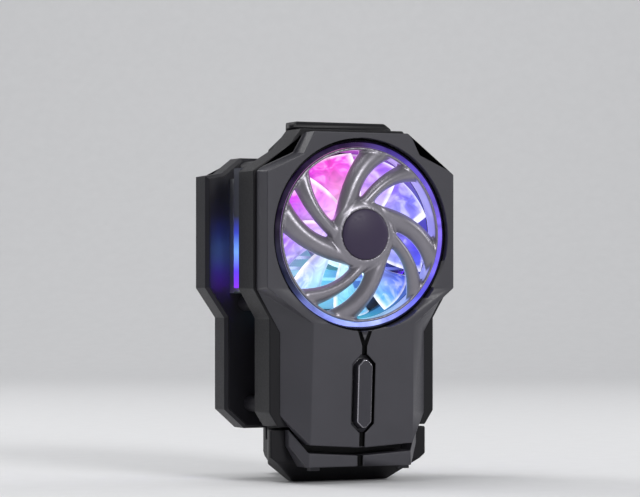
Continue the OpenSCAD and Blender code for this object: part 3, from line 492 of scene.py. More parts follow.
def points_tree():
    """A node tree that sets one object at each point of a mesh."""
    tree, given = copies_tree("Set at points", ("Points", "Geometry"), ("Piece", "Object"))
    piece = add(tree, "GeometryNodeObjectInfo", {"As Instance": True}, {"Object": given.outputs["Piece"]})
    set_down = add(tree, "GeometryNodeInstanceOnPoints", {}, {"Points": given.outputs["Points"],
                   "Instance": piece.outputs["Geometry"]})
    return made_real(tree, given, set_down)


def revolved(profile, steps=96):
    """A closed shell turned about the Y axis from a profile of radius and depth, both in mm."""
    shape = bmesh.new()
    rings = []
    for radius, depth in profile:
        if radius < 1e-6:
            rings.append([shape.verts.new((0, depth * mm, 0))])
        else:
            rings.append([shape.verts.new((radius * mm * math.cos(a), depth * mm, radius * mm * math.sin(a)))
                          for a in (2 * math.pi * k / steps for k in range(steps))])
    pairs = list(zip(rings, rings[1:]))
    if len(rings[0]) > 1 and len(rings[-1]) > 1:
        pairs.append((rings[-1], rings[0]))
    for a, b in pairs:
        if len(a) == len(b):
            band(shape, a, b)
            continue
        for k in range(steps):
            j = (k + 1) % steps
            corners = (a[0], b[k], b[j]) if len(a) == 1 else (a[k], a[j], b[0])
            shape.faces.new(corners).smooth = True
    bmesh.ops.recalc_face_normals(shape, faces=shape.faces)
    return as_mesh(shape, "turned")


def cross_screw(shank_r, length, head_r, head_t, front):
    """A screw along Y, in mm: its head from 0 to head_t with a cross recess, and a threaded shank of
    the given length behind it. Front turns the head the other way."""
    flat_top, crown_drop, crown_steps = 0.72, 0.4, 6
    profile = [(0, head_t)]
    for k in range(1, crown_steps + 1):
        a = math.pi / 2 * k / crown_steps
        profile.append((head_r * (flat_top + (1 - flat_top) * math.sin(a)),
                        head_t - crown_drop * (1 - math.cos(a))))
    profile += [(head_r, 0.12), (head_r - 0.12, 0), (shank_r + 0.15, 0), (shank_r, -0.15)]
    pitch, thread_d, thread_from, plain = 0.5, 0.16, 0.4, 0.8
    for k in range(int((length - plain) / pitch)):
        profile += [(shank_r, -thread_from - k * pitch),
                    (shank_r - thread_d, -thread_from - (k + 0.5) * pitch)]
    profile += [(shank_r, -length + 0.3), (shank_r - 0.25, -length), (0, -length)]
    screw = finished("screw", revolved(profile, steps=40), plated_steel)
    arm, slot, deep, tip_share = 1.1 * head_r * mm, 0.34 * head_r * mm, 1.5 * head_t * mm, 0.45
    shape = bmesh.new()
    for turn in (0, math.pi / 2):
        made = bmesh.ops.create_cube(shape, size=1.0)
        for v in made["verts"]:
            taper = 1.0 if v.co.y > 0 else tip_share
            v.co = Vector((v.co.x * arm * taper, head_t * mm + v.co.y * deep, v.co.z * slot * taper))
        bmesh.ops.rotate(shape, verts=made["verts"], cent=(0, 0, 0), matrix=Matrix.Rotation(turn, 3, "Y"))
    cutter = finished("cross", as_mesh(shape, "cross"), plated_steel)
    cut = screw.modifiers.new("recess", "BOOLEAN")
    cut.object, cut.operation, cut.solver, cut.use_self = cutter, "DIFFERENCE", "EXACT", True
    plain_copy(screw)
    bpy.data.objects.remove(cutter)
    if front:
        screw.data.transform(Matrix.Rotation(math.pi, 4, "Z"))
    screw.data.set_sharp_from_angle(angle=math.radians(35))
    return screw


def loose_boxes(node):
    """The lowest and highest corners of each separate solid in a node."""
    solids = bmesh.new()
    solids.from_mesh(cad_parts[node].data)
    bmesh.ops.remove_doubles(solids, verts=solids.verts, dist=1e-6)
    seen, boxes = set(), []
    for start in solids.verts:
        if start.index in seen:
            continue
        stack, group = [start], []
        seen.add(start.index)
        while stack:
            v = stack.pop()
            group.append(v.co.copy())
            for e in v.link_edges:
                w = e.other_vert(v)
                if w.index not in seen:
                    seen.add(w.index)
                    stack.append(w)
        boxes.append([Vector([pick(c[k] for c in group) for k in range(3)]) for pick in (min, max)])
    solids.free()
    return boxes


points_of = points_tree()
# Cool grey with a slight haze, darker in the recess
plated_steel = worked_metal("Steel, zinc plated", "#b9bcc0", "#8f9296", stretch=(1, 1, 1), line=0.25,
                            roughness=0.33)
# Each set: its node, its piece, the radius of its shank, the radius and height of its head in mm, and
# whether its head is to the front
screw_sets = (
    ("case_screws", "rear_screws", 1.0, 1.9, 1.4, False),
    ("cover_screws", "front_screws", 1.0, 1.9, 1.2, False),
    ("jaw_screws", "claw_screws", 0.9, 1.6, 1.1, True),
)
for node, name, shank_r, head_r, head_t, front in screw_sets:
    boxes = loose_boxes(node)
    places = []
    for low, high in boxes:
        seat = low.y + head_t * mm if front else high.y - head_t * mm
        places.append(((low.x + high.x) / 2, seat, (low.z + high.z) / 2))
    length = (boxes[0][1].y - boxes[0][0].y) / mm - head_t
    screw = cross_screw(shank_r, length, head_r, head_t, front)
    holes = bpy.data.meshes.new(name)
    holes.from_pydata(places, [], [])
    screws = grown(name, holes, points_of, plated_steel, Piece=screw)
    bpy.data.objects.remove(screw)
    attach(screws, "housing")
    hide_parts(node)


# Fan motor: a spider in the shroud holds the bearing tube, its board, the laminated stator, four coils
# of enamelled copper wire and a sintered bronze sleeve.

# Satin black like the frame's, with the fan's light on it further down
spider_plastic = moulded_plastic("Satin ABS, spider", "#161519", "#343338", shine=0.22)
dress("motor_base", spider_plastic)
# Dull grey with the edges of its stacked sheets as fine lines
stack_steel = worked_metal("Silicon steel, stamped and stacked", "#8b8e93", "#5f6267",
                           stretch=(0.05, 1, 0.05), line=0.35, roughness=0.45)
dress("stator_core", stack_steel)
# Warm brown-gold, dull and finely speckled
bronze = worked_metal("Bronze, sintered", "#b08a4c", "#8b6a36", stretch=(1, 1, 1), line=0.15,
                      roughness=0.5)
dress("bearing_sleeve", bronze)


def solder_mask(name, colour):
    """Fibreglass board under a green lacquer, with copper tracks that show through as lighter lines."""
    material, tree = blank_material(name)
    place = add(tree, "ShaderNodeTexCoord").outputs["Object"]
    tracks = add(tree, "ShaderNodeTexVoronoi", {"Scale": 1 / (1.6 * mm)}, {"Vector": place},
                 distance="CHEBYCHEV", feature="F2")
    line = add(tree, "ShaderNodeMapRange", {"From Min": 0.42, "From Max": 0.46},
               {"Value": tracks.outputs["Distance"]})
    base = linear(colour)
    lit = [min(1.0, c * 1.9) for c in base[:3]] + [1.0]
    tone = add(tree, "ShaderNodeMix", {6: base, 7: lit}, {0: line.outputs[0]}, data_type="RGBA")
    bump = add(tree, "ShaderNodeBump", {"Strength": 0.3, "Distance": 0.03 * mm}, {"Height": line.outputs[0]})
    skin = add(tree, "ShaderNodeBsdfPrincipled", {"Roughness": 0.35, "IOR": 1.5, "Coat Weight": 0.3},
               {"Base Color": tone.outputs[2], "Normal": bump.outputs[0]})
    add(tree, "ShaderNodeOutputMaterial", links={"Surface": skin.outputs[0]})
    return material


# Deep green under a thin gloss
board_lacquer = solder_mask("Fibreglass board, green lacquer", "#1f4a33")
dress("motor_board", board_lacquer)


def ring_tree():
    """A node tree that repeats a shape round the fan axis, with named inputs for count and centre."""
    tree, given = copies_tree("Ring of copies", ("Shape", "Geometry"), ("Count", "Int"), ("Centre", "Vector"))
    many = counted(tree, given)
    share = add(tree, "ShaderNodeMath", {}, {0: many.outputs[1], 1: given.outputs["Count"]},
                operation="DIVIDE")
    angle = add(tree, "ShaderNodeMath", {1: 2 * math.pi}, {0: share.outputs[0]}, operation="MULTIPLY")
    turn = add(tree, "ShaderNodeCombineXYZ", {}, {"Y": angle.outputs[0]})
    euler = add(tree, "FunctionNodeEulerToRotation", {}, {0: turn.outputs[0]})
    placed = add(tree, "GeometryNodeRotateInstances", {"Local Space": False},
                 {"Instances": many.outputs[0], "Rotation": euler.outputs[0],
                  "Pivot Point": given.outputs["Centre"]})
    return made_real(tree, given, placed)


ring_of = ring_tree()
fan_z = (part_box("impeller")[0].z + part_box("impeller")[1].z) / 2
fan_centre = (0, 0, fan_z)
# Red-brown copper with the gloss of its enamel
enamel = worked_metal("Copper wire, enamelled", "#b8683a", "#8d4a26", stretch=(1, 1, 1), line=0.3,
                      roughness=0.3)
wind_low, wind_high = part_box("windings")
mid_y = (wind_high.y + wind_low.y) / 2
turn_r, coil_in, tooth_half, coil_wall, corner = 0.11 * mm, 3.85 * mm, 0.95 * mm, 0.62 * mm, 0.25 * mm
turns_along, coil_count = 5, 4
loops = []
for layer in (0, 1):
    half_w = tooth_half + layer * 2 * turn_r
    half_d = (wind_high.y - wind_low.y) / 2 - coil_wall + turn_r + layer * 2 * turn_r
    path = []
    for k in range(turn_points):
        a = 2 * math.pi * (k + 0.5) / turn_points
        path.append((coil_in + turn_r,
                     mid_y + math.copysign(half_d - corner, math.sin(a)) + corner * math.sin(a),
                     fan_z + math.copysign(half_w - corner, math.cos(a)) + corner * math.cos(a)))
    loops.append(swept(path, turn_r, sides=8, closed=True))
turn_pair = joined("turns", enamel, *loops)
one_coil = grown("one_coil", turn_pair.data, rows_of, enamel, Count=turns_along,
                 Step=(2 * turn_r, 0, 0))
wire_coils = grown("wire_coils", one_coil.data, ring_of, enamel, Count=coil_count, Centre=fan_centre)
for spare in (turn_pair, one_coil):
    bpy.data.objects.remove(spare)
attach(wire_coils, "housing")
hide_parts("windings")


# Turning pieces: ground shaft, plated ring magnet and the impeller, moulded in clear smoked polycarbonate.
# Nine cambered blades sweep back from the cup. The lamps round the rim shine into the blades.

# Mirror-bright steel, ground along its length
shaft_steel = worked_metal("Steel, ground", "#d0d2d5", "#b3b6b9", stretch=(1, 0.05, 1), line=0.2,
                           roughness=0.2)
dress("fan_shaft", shaft_steel)
# Dull dark grey plating
plated_ferrite = worked_metal("Ferrite magnet, plated", "#6d7074", "#515458", stretch=(1, 1, 1), line=0.3,
                              roughness=0.4)
dress("rotor_magnet", plated_ferrite)

# The lamps' colours by the share of a turn: violet at the left, magenta above, blue right, cyan below
blade_light = ((0.0, "#a45cff"), (0.1, "#ee3cff"), (0.2, "#ff2fd6"), (0.3, "#b066ff"), (0.42, "#7f7cff"),
               (0.52, "#5a4cff"), (0.63, "#5f8cff"), (0.74, "#4fe2ff"), (0.86, "#a5dcff"), (0.95, "#b08cff"),
               (1.0, "#a45cff"))


def set_stops(ramp, stops):
    """Puts a row of shares and colours on a colour ramp."""
    while len(ramp.color_ramp.elements) < len(stops):
        ramp.color_ramp.elements.new(0.5)
    for element, (share, colour) in zip(ramp.color_ramp.elements, stops):
        element.position = share
        element.color = linear(colour)


def across_fan(tree, place):
    """Places turned so that X and Y lie across the fan's axis."""
    return add(tree, "ShaderNodeMapping", {"Location": (0, fan_z, 0), "Rotation": (math.pi / 2, 0, 0)},
               {"Vector": place}).outputs[0]


def fan_radius(tree, place):
    """The distance of a place from the fan's axis."""
    flat = add(tree, "ShaderNodeVectorMath", {1: (1, 1, 0)}, {0: across_fan(tree, place)},
               operation="MULTIPLY")
    return add(tree, "ShaderNodeVectorMath", {}, {0: flat.outputs[0]}, operation="LENGTH").outputs["Value"]


def rearward(tree):
    """How far a surface faces the rear, from -1 to 1."""
    normal = add(tree, "ShaderNodeTexCoord").outputs["Normal"]
    return add(tree, "ShaderNodeSeparateXYZ", {}, {0: normal}).outputs["Y"]


def glow_colour(tree, place, stops):
    """The lamps' colours round the fan. The share of a turn runs clockwise from the left."""
    turn = add(tree, "ShaderNodeTexGradient", {}, {"Vector": across_fan(tree, place)}, gradient_type="RADIAL")
    ramp = add(tree, "ShaderNodeValToRGB", {}, {"Fac": turn.outputs["Fac"]})
    set_stops(ramp, stops)
    return ramp.outputs["Color"]


# In mm: the cup, the blades' tips and thickness, and where a blade starts and ends behind the face
cup_r, tip_r, blade_t = 8.2, 20.3, 0.9
blade_front, blade_back = 4.1, 11.0
# In degrees: how far a blade turns from front to back, and leans from cup to tip
blade_turn, blade_lean = 36, 14
blade_count, blade_rows, blade_spans = 9, 14, 16
blade_camber, lip_glow = 0.18, 0.75
# The hub's badge stands this far in front of the cover's face
badge_crest = 2.779 * mm
face_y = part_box("hub_badge")[0].y + badge_crest


def at_fan(radius, angle, depth):
    """A point by radius and depth in mm and angle in degrees, about the fan's axis."""
    a = math.radians(angle)
    return (radius * mm * math.cos(a), face_y + depth * mm, fan_z + radius * mm * math.sin(a))


def skinned(sections, **marks):
    """A closed shell through a row of closed sections, with each mark as a value at its points."""
    shape = bmesh.new()
    rings = [[shape.verts.new(p) for p in section] for section in sections]
    for a, b in zip(rings, rings[1:]):
        band(shape, a, b)
    for ring in (rings[0], rings[-1]):
        half = len(ring) // 2
        for k in range(half - 1):
            shape.faces.new((ring[k], ring[k + 1], ring[-k - 2], ring[-k - 1]))
    bmesh.ops.recalc_face_normals(shape, faces=shape.faces)
    mesh = as_mesh(shape, "skin")
    for label, values in marks.items():
        mesh.attributes.new(label, "FLOAT", "POINT").data.foreach_set("value", values)
    return mesh


# The blade starts inside the cup's wall. Each section runs along one side and back along the other.
root_r = cup_r - 0.5
sections, chord, lip = [], [], []
for row in range(blade_spans + 1):
    radius = root_r + (tip_r - root_r) * row / blade_spans
    half_a = math.degrees(math.asin(blade_t / 2 / radius))
    lean = blade_lean * (radius - cup_r) / (tip_r - cup_r)
    loop = []
    for side in (-1, 1):
        for k in range(blade_rows + 1) if side < 0 else range(blade_rows, -1, -1):
            t = k / blade_rows
            thin = max(0.16, math.sin(math.pi * (0.06 + 0.88 * t)) ** 0.35)
            angle = lean + blade_turn * (t + blade_camber * math.sin(math.pi * t)) + side * half_a * thin
            loop.append(at_fan(radius, angle, blade_front + (blade_back - blade_front) * t))
            chord.append(t)
            lip.append(lip_glow if k in (0, blade_rows) or row == blade_spans else 0.0)
    sections.append(loop)

# Glossy smoked plastic that glows in the lamps' colours, cloudy and with bright thin edges
smoked_clear, tree = blank_material("Polycarbonate, clear and lit")
place = add(tree, "ShaderNodeTexCoord").outputs["Object"]
# The light is palest near the hub, where the blades stand closest, where it gathers in the plastic
# and on the blades' thin lips
inner = add(tree, "ShaderNodeMapRange",
            {"From Min": 9 * mm, "From Max": 18 * mm, "To Min": 0.42, "To Max": 0.0},
            {"Value": fan_radius(tree, place)})
edge = add(tree, "ShaderNodeAttribute", attribute_name="lip")
pool = add(tree, "ShaderNodeTexNoise", {"Scale": 1 / (4.5 * mm), "Detail": 2.0, "Distortion": 1.2},
           {"Vector": place})
caught = add(tree, "ShaderNodeMapRange", {"From Min": 0.5, "From Max": 0.72, "To Min": 0.0, "To Max": 0.45},
             {"Value": pool.outputs["Fac"]})
washed = add(tree, "ShaderNodeMath", {}, {0: inner.outputs[0], 1: caught.outputs[0]}, operation="MAXIMUM")
pale = add(tree, "ShaderNodeMath", {}, {0: washed.outputs[0], 1: edge.outputs["Fac"]}, operation="MAXIMUM")
colour = add(tree, "ShaderNodeMix", {7: (1, 1, 1, 1)},
             {0: pale.outputs[0], 6: glow_colour(tree, place, blade_light)}, data_type="RGBA")
back = add(tree, "ShaderNodeAttribute", attribute_name="chord")
fall = add(tree, "ShaderNodeMapRange", {"To Min": 1.3, "To Max": 0.6}, {"Value": back.outputs["Fac"]})
uneven = add(tree, "ShaderNodeMapRange", {"From Min": 0.32, "From Max": 0.6, "To Min": 0.62, "To Max": 1.05},
             {"Value": pool.outputs["Fac"]})
glow = add(tree, "ShaderNodeMath", {}, {0: fall.outputs[0], 1: uneven.outputs[0]}, operation="MULTIPLY")
level = add(tree, "ShaderNodeMath", {}, {0: glow.outputs[0], 1: edge.outputs["Fac"]}, operation="MAXIMUM")
# The lamps shine through the blades to the rear, so their rear sides light the fins
thrown = add(tree, "ShaderNodeMapRange", {"From Min": 0.1, "From Max": 0.5, "To Min": 1.0, "To Max": 2.5},
             {"Value": rearward(tree)})
level = add(tree, "ShaderNodeMath", {}, {0: level.outputs[0], 1: thrown.outputs[0]}, operation="MULTIPLY")
skin = add(tree, "ShaderNodeBsdfPrincipled",
           {"Base Color": linear("#3a3252"), "Roughness": 0.18, "IOR": 1.58},
           {"Emission Color": colour.outputs[2], "Emission Strength": level.outputs[0]})
add(tree, "ShaderNodeOutputMaterial", links={"Surface": skin.outputs[0]})
blade_start = finished("blade", skinned(sections, chord=chord, lip=lip), smoked_clear)
blades = grown("blades", blade_start.data, ring_of, smoked_clear, Count=blade_count, Centre=fan_centre)
# The cup's profile, closed in front, with a boss for the shaft
cup = revolved([(0, 3.6), (6.9, 3.6), (7.5, 3.7), (7.95, 4.0), (8.2, 4.5), (8.2, 11.2), (7.3, 11.2),
                (7.3, 4.8), (2.0, 4.8), (2.0, 5.4), (1.02, 5.4), (1.02, 4.8), (0, 4.8)], steps=96)
cup.transform(Matrix.Translation((0, face_y, fan_z)))
fan_wheel = joined("fan_wheel", smoked_clear, cup, blades.data)
fan_wheel.data.set_sharp_from_angle(angle=math.radians(40))
for spare in (blade_start, blades):
    bpy.data.objects.remove(spare)
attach(fan_wheel, "fan")
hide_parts("impeller")


def lamp_lit(material, level, far):
    """Adds the fan's coloured light to a material. It fades out at the far distance, in mm."""
    tree = material.node_tree
    skin = tree.nodes["Principled BSDF"]
    place = add(tree, "ShaderNodeTexCoord").outputs["Object"]
    fade = add(tree, "ShaderNodeMapRange", {"From Min": 0.7 * far * mm, "From Max": far * mm, "To Min": level,
               "To Max": 0.0}, {"Value": fan_radius(tree, place)})
    tree.links.new(glow_colour(tree, place, blade_light), skin.inputs["Emission Color"])
    tree.links.new(fade.outputs[0], skin.inputs["Emission Strength"])


# The light goes on through the blades to the spider and the fins behind them
lamp_lit(fin_metal, level=0.35, far=22)
lamp_lit(spider_plastic, level=0.3, far=24)


# Shroud: the black frame behind the cover, with the fan's duct, the bay for the controls and the slots
# beside the cover's shoulders. The duct's wall catches the fan's light.

shroud = softened("shroud_frame", "shroud", width=0.3, material=frame_plastic)
duct_r = 22.5 * mm
# The frame's satin black, coloured by the fan's light
duct_plastic = moulded_plastic("Satin ABS, duct wall", "#161519", "#343338", shine=0.22)
lamp_lit(duct_plastic, level=0.5, far=40)
shroud.data.materials.append(duct_plastic)
for face in shroud.data.polygons:
    out = Vector((face.center.x, 0, face.center.z - fan_z))
    if out.length < duct_r and face.normal.dot(out) < -0.5 * out.length:
        face.material_index = 1
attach(shroud, "housing")
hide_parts("shroud_frame")


# Side lights: frosted strips on edge at the mouths of the air gap, lit at their lower ends.
# The colour runs from violet at the bottom to blue and fades out upwards.

# Dull dark plastic that glows at its lower end
frosted, tree = blank_material("Acrylic, frosted and lit")
place = add(tree, "ShaderNodeTexCoord").outputs["Object"]
height = add(tree, "ShaderNodeSeparateXYZ", {}, {0: place}).outputs["Z"]
strip_low, strip_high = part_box("side_lights")
share = add(tree, "ShaderNodeMapRange", {"From Min": strip_low.z, "From Max": strip_high.z},
            {"Value": height})
run = add(tree, "ShaderNodeValToRGB", {}, {"Fac": share.outputs[0]})
strip_stops = ((0.0, "#8a1cff"), (0.14, "#5a2cff"), (0.3, "#6fa4ff"), (0.46, "#2436c0"), (0.6, "#06080f"))
set_stops(run, strip_stops)
# Most of the light leaves at the strip's rear edge, into the air gap
thrown = add(tree, "ShaderNodeMapRange", {"From Min": 0.4, "From Max": 0.6, "To Min": 1.1, "To Max": 28.0},
             {"Value": rearward(tree)})
skin = add(tree, "ShaderNodeBsdfPrincipled", {"Base Color": linear("#2c2e39"), "Roughness": 0.45, "IOR": 1.49,
           "Subsurface Weight": 0.2, "Subsurface Radius": (mm, mm, mm)},
           {"Emission Color": run.outputs["Color"], "Emission Strength": thrown.outputs[0]})
add(tree, "ShaderNodeOutputMaterial", links={"Surface": skin.outputs[0]})
dress("side_lights", frosted)


# Controls in the stem: the board with its power socket and push switch, and the bay's rear cover.
# The socket's shell is drawn steel and the switch's plunger is natural nylon.

dress("control_board", board_lacquer)
# Bright nickel with lines along the socket
nickel = worked_metal("Steel, drawn and nickel plated", "#c3c6c9", "#9da0a4", stretch=(0.06, 1, 1),
                      line=0.2, roughness=0.28)
dress("usb_socket", nickel)
# Plain grey sheet
stamped_steel = worked_metal("Steel, stamped", "#b3b6b9", "#8d9094", stretch=(1, 1, 0.1), line=0.25,
                             roughness=0.4)
dress("tact_switch", stamped_steel)
dress("bay_cover", base_plastic)
# Milky cream
nylon = moulded_plastic("Nylon, natural", "#cfcabf", "#e2ded4", grit=0.5, roughness=0.5)
dress("switch_plunger", nylon)


# Ring of light: a board with twelve lamps under a light guide of moulded acrylic.
# A glossy black bezel holds the guide in the cover's opening, round the grille.

def lit_plastic(name, stops, strength, pale, roughness, body, streak, shine=0.25):
    """Clear polycarbonate with lamps behind it. Streaks, in mm, are where the light gathers, and pale
    is how far they wash out to white."""
    material, tree = blank_material(name)
    place = add(tree, "ShaderNodeTexCoord").outputs["Object"]
    colour = glow_colour(tree, place, stops)
    pool = add(tree, "ShaderNodeTexNoise", {"Scale": 1 / (streak * mm), "Detail": 2.0, "Distortion": 0.8},
               {"Vector": place})
    wash = add(tree, "ShaderNodeMapRange",
               {"From Min": 0.42, "From Max": 0.68, "To Min": 0.0, "To Max": pale},
               {"Value": pool.outputs["Fac"]})
    light = add(tree, "ShaderNodeMix", {7: (1, 1, 1, 1)}, {0: wash.outputs[0], 6: colour}, data_type="RGBA")
    level = add(tree, "ShaderNodeMapRange", {"From Min": 0.3, "From Max": 0.7, "To Min": 0.55 * strength,
                "To Max": 1.25 * strength}, {"Value": pool.outputs["Fac"]})
    skin = add(tree, "ShaderNodeBsdfPrincipled",
               {"Base Color": linear(body), "Roughness": roughness, "IOR": 1.58, "Specular IOR Level": shine},
               {"Emission Color": light.outputs[2], "Emission Strength": level.outputs[0]})
    add(tree, "ShaderNodeOutputMaterial", links={"Surface": skin.outputs[0]})
    return material


dress("led_board", board_lacquer)
# Nearly dark at the left, violet above and blue at the right and below
ring_light = ((0.0, "#130d1e"), (0.12, "#1b0d2c"), (0.25, "#2a1440"), (0.36, "#4f3fa8"), (0.5, "#7d66e0"),
              (0.62, "#5c5ae4"), (0.72, "#a6b3ff"), (0.8, "#8894f0"), (0.9, "#20253f"), (1.0, "#130d1e"))
# Pale lamps that glow almost white
lamp_resin = lit_plastic("Lamp resin, lit", blade_light, strength=1.2, pale=0.6, roughness=0.35,
                         body="#e9e9ef", streak=2.0)
dress("leds", lamp_resin)
# A dark, even band that shows only the lamps' colours
guide = lit_plastic("Acrylic light guide, lit", ring_light, strength=1.35, pale=0.008, roughness=0.4,
                    body="#0a0810", streak=6.0, shine=0.15)
dress("light_ring", guide)
# Black with a sharp, dim gloss
gloss_black = moulded_plastic("Polycarbonate, gloss black", "#0d0d10", "#2a2a2f", grit=0.8, roughness=0.2,
                              relief=0.01, shine=0.3)
dress("bezel_ring", gloss_black)


# Swirl grille: eight crowned vanes in four pairs run in a spiral from the hub to the rim, one moulding.
# The vanes melt into the hub and the rim, so the whole is drawn as one skin and then smoothed.

# In mm: the radius inside the hub where a vane starts and where an opening starts, and the rim
vane_root_r, tear_r, rim_in, rim_w = 7.8, 8.6, 20.9, 0.8
vane_crown, vane_t, crest_power = 1.8, 0.6, 2.2
pair_count, vane_rows, row_power, crest_points = 4, 40, 1.5, 16
# The smoothing takes this much off each edge of a vane, so the vanes are drawn broader by it
edge_loss = 0.45
vane_tip_r = rim_in + rim_w / 2
# Depths behind the face: the rim's crest, the hub's front and the vanes' crests at each end
rim_d, hub_d = 0.7, -1.8
root_d, tip_d = hub_d + 0.3, rim_d + 0.25
# Each edge: angle at the hub and sweep in degrees, and how soon it sweeps
edges = {"wide_lead": (160.7, -75, 0.4), "wide_trail": (70.7, -31, 1.05),
         "thin_lead": (98.6, -43.6, 0.55), "thin_trail": (98.6, -33.6, 1.1)}
vane_meshes = []
for start, end in (("wide_trail", "thin_lead"), ("thin_trail", "wide_lead")):
    sections = []
    for row in range(vane_rows + 1):
        s = (row / vane_rows) ** row_power
        radius = vane_root_r + (vane_tip_r - vane_root_r) * s
        u = max(0.0, (radius - tear_r) / (vane_tip_r - tear_r))
        a, b = (edges[e][0] + edges[e][1] * u ** edges[e][2] for e in (start, end))
        broader = math.degrees(edge_loss / radius)
        a, b = a - broader, b + broader
        top = root_d + (tip_d - root_d) * s * s
        low = top + vane_crown
        loop = [at_fan(radius, (a + b) / 2, low + vane_t), at_fan(radius, b, low + vane_t)]
        for k in range(crest_points + 1):
            t = 1 - k / crest_points
            loop.append(at_fan(radius, a + (b - a) * t, top + vane_crown * abs(2 * t - 1) ** crest_power))
        loop.append(at_fan(radius, a, low + vane_t))
        sections.append(loop)
    vane_meshes.append(skinned(sections))
# Metallic grey lacquer, satin, with long soft highlights along the crests
grille_plastic = moulded_plastic("ABS, satin gunmetal lacquer", "#8b8890", "#a8a5ab", grit=0.5,
                                 roughness=0.37, relief=0.01, flake=0.65)
# The fan's light runs along the vanes' flanks and leaves a thin bright edge round each opening
tree = grille_plastic.node_tree
skin = tree.nodes["Principled BSDF"]
place = add(tree, "ShaderNodeTexCoord").outputs["Object"]
lit = add(tree, "ShaderNodeMapRange", {"From Min": -0.3, "From Max": 0.05, "To Min": 0.0, "To Max": 0.7},
          {"Value": rearward(tree)})
tint = add(tree, "ShaderNodeMix", {0: 0.3, 7: (1, 1, 1, 1)}, {6: glow_colour(tree, place, blade_light)},
           data_type="RGBA")
tree.links.new(tint.outputs[2], skin.inputs["Emission Color"])
tree.links.new(lit.outputs[0], skin.inputs["Emission Strength"])
vane_pair = joined("vane_pair", grille_plastic, *vane_meshes)
vanes = grown("vanes", vane_pair.data, ring_of, grille_plastic, Count=pair_count, Centre=fan_centre)
hub_low = root_d + vane_crown + vane_t + 0.2
hub = revolved([(0, hub_d + 0.6), (6.3, hub_d + 0.6), (6.3, hub_d), (6.7, hub_d + 0.06), (7.3, hub_d + 0.28),
                (8.0, hub_d + 0.65), (8.5, hub_d + 1.1), (8.5, hub_low), (0, hub_low)], steps=128)
rim = revolved([(rim_in, 5.6), (rim_in, rim_d + 0.4), (rim_in + 0.2, rim_d + 0.1), (rim_in + 0.4, rim_d),
                (rim_in + 0.6, rim_d + 0.1), (rim_in + rim_w, rim_d + 0.4), (rim_in + rim_w, 5.6)], steps=160)
for mesh in (hub, rim):
    mesh.transform(Matrix.Translation((0, face_y, fan_z)))
grille = joined("swirl_grille", grille_plastic, vanes.data, hub, rim)
for spare in (vane_pair, vanes):
    bpy.data.objects.remove(spare)
voxel, ease_rounds = 0.25 * mm, 9
knit = grille.modifiers.new("knit", "REMESH")
knit.mode, knit.voxel_size, knit.use_smooth_shade = "VOXEL", voxel, True
ease = grille.modifiers.new("ease", "SMOOTH")
ease.factor, ease.iterations = 0.5, ease_rounds
plain_copy(grille)
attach(grille, "housing")
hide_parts("fan_grille")


# Hub badge: a bare domed disc with a rounded rim, moulded in satin polycarbonate.
# It snaps into the recess in the front of the grille's hub.

badge_r, dome_r, dome_d, dome_fall, dome_steps = 6.2, 5.85, -2.76, 0.8, 12
profile = [(0, hub_d + 0.58), (badge_r - 0.05, hub_d + 0.58), (badge_r, hub_d + 0.5), (badge_r, hub_d + 0.12),
           (badge_r - 0.06, hub_d - 0.04), (badge_r - 0.22, hub_d - 0.12)]
for k in range(1, dome_steps + 1):
    r = dome_r * (1 - k / dome_steps)
    profile.append((r, dome_d + dome_fall * (r / badge_r) ** 2))
badge_mesh = revolved(profile, steps=128)
badge_mesh.transform(Matrix.Translation((0, face_y, fan_z)))
# Dark grey with a violet cast, satin, so that the dome shows as one soft gradient
badge_plastic = moulded_plastic("Satin polycarbonate, badge", "#372d46", "#67606f", grit=0.45,
                                roughness=0.46, relief=0.012, shine=0.3)
hub_disc = finished("hub_disc", badge_mesh, badge_plastic)
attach(hub_disc, "housing")
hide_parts("hub_badge")


# Front cover: the grey face shell with its fan opening, facets, leaning stem and centre groove.
# One ABS moulding in satin grey, held to the shroud by four screws from behind.

face_shell = softened("front_cover", "face_shell", width=0.28, material=cover_plastic)
# The centre groove and the key's recess are painted black as shade
shade_painted_in_groove(face_shell, "front_cover", half_width=3.3 * mm, depth=1.4 * mm)
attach(face_shell, "housing")
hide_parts("front_cover")


# Mode key: a long octagonal key that slides in the stem's slot and presses the switch behind it.
# Satin ABS, dark on its face, with a painted highlight in silvery grey on the bevel round it.

# Dark grey with a soft sheen; its rounded edges are painted much lighter, partly rub and partly a painted
# highlight
key_plastic = moulded_plastic("Satin ABS, key", "#38373e", "#98969e", grit=0.42, roughness=0.34,
                              shine=0.35)
key_cap = softened("mode_key", "key_cap", width=0.3, material=key_plastic)
# Painted highlight: a silvery metallic colour on the bevel that reads as a thin bright outline
bevel_painted_highlight = moulded_plastic("ABS, bevel with painted highlight", "#a3a1a8", "#b8b6bc", grit=0.5,
                              roughness=0.22, relief=0.004, flake=0.9)
key_cap.data.materials.append(bevel_painted_highlight)
bevel_from, bevel_to = 0.4, 0.9
# The bevel's faces take the painted highlight
for face in key_cap.data.polygons:
    if bevel_from < -face.normal.y < bevel_to:
        face.material_index = 1
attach(key_cap, "key")
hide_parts("mode_key")


# Studio: a pale paper floor that sweeps up into a backdrop, four soft lamps and the camera.
# The lamps stand well back, so that the paper is lit evenly and doesn't clip.

# Matt pale grey with a faint fibre, drawn coarse so that it shows
paper, tree = blank_material("Pale studio paper")
place = add(tree, "ShaderNodeTexCoord").outputs["Object"]
fibre = add(tree, "ShaderNodeTexNoise", {"Scale": 1 / (6.25 * mm), "Detail": 3.0}, {"Vector": place})
tone = add(tree, "ShaderNodeMix", {6: linear("#dededf"), 7: linear("#e4e4e5")}, {0: fibre.outputs["Fac"]},
           data_type="RGBA")
skin = add(tree, "ShaderNodeBsdfPrincipled", {"Roughness": 0.8}, {"Base Color": tone.outputs[2]})
add(tree, "ShaderNodeOutputMaterial", links={"Surface": skin.outputs[0]})
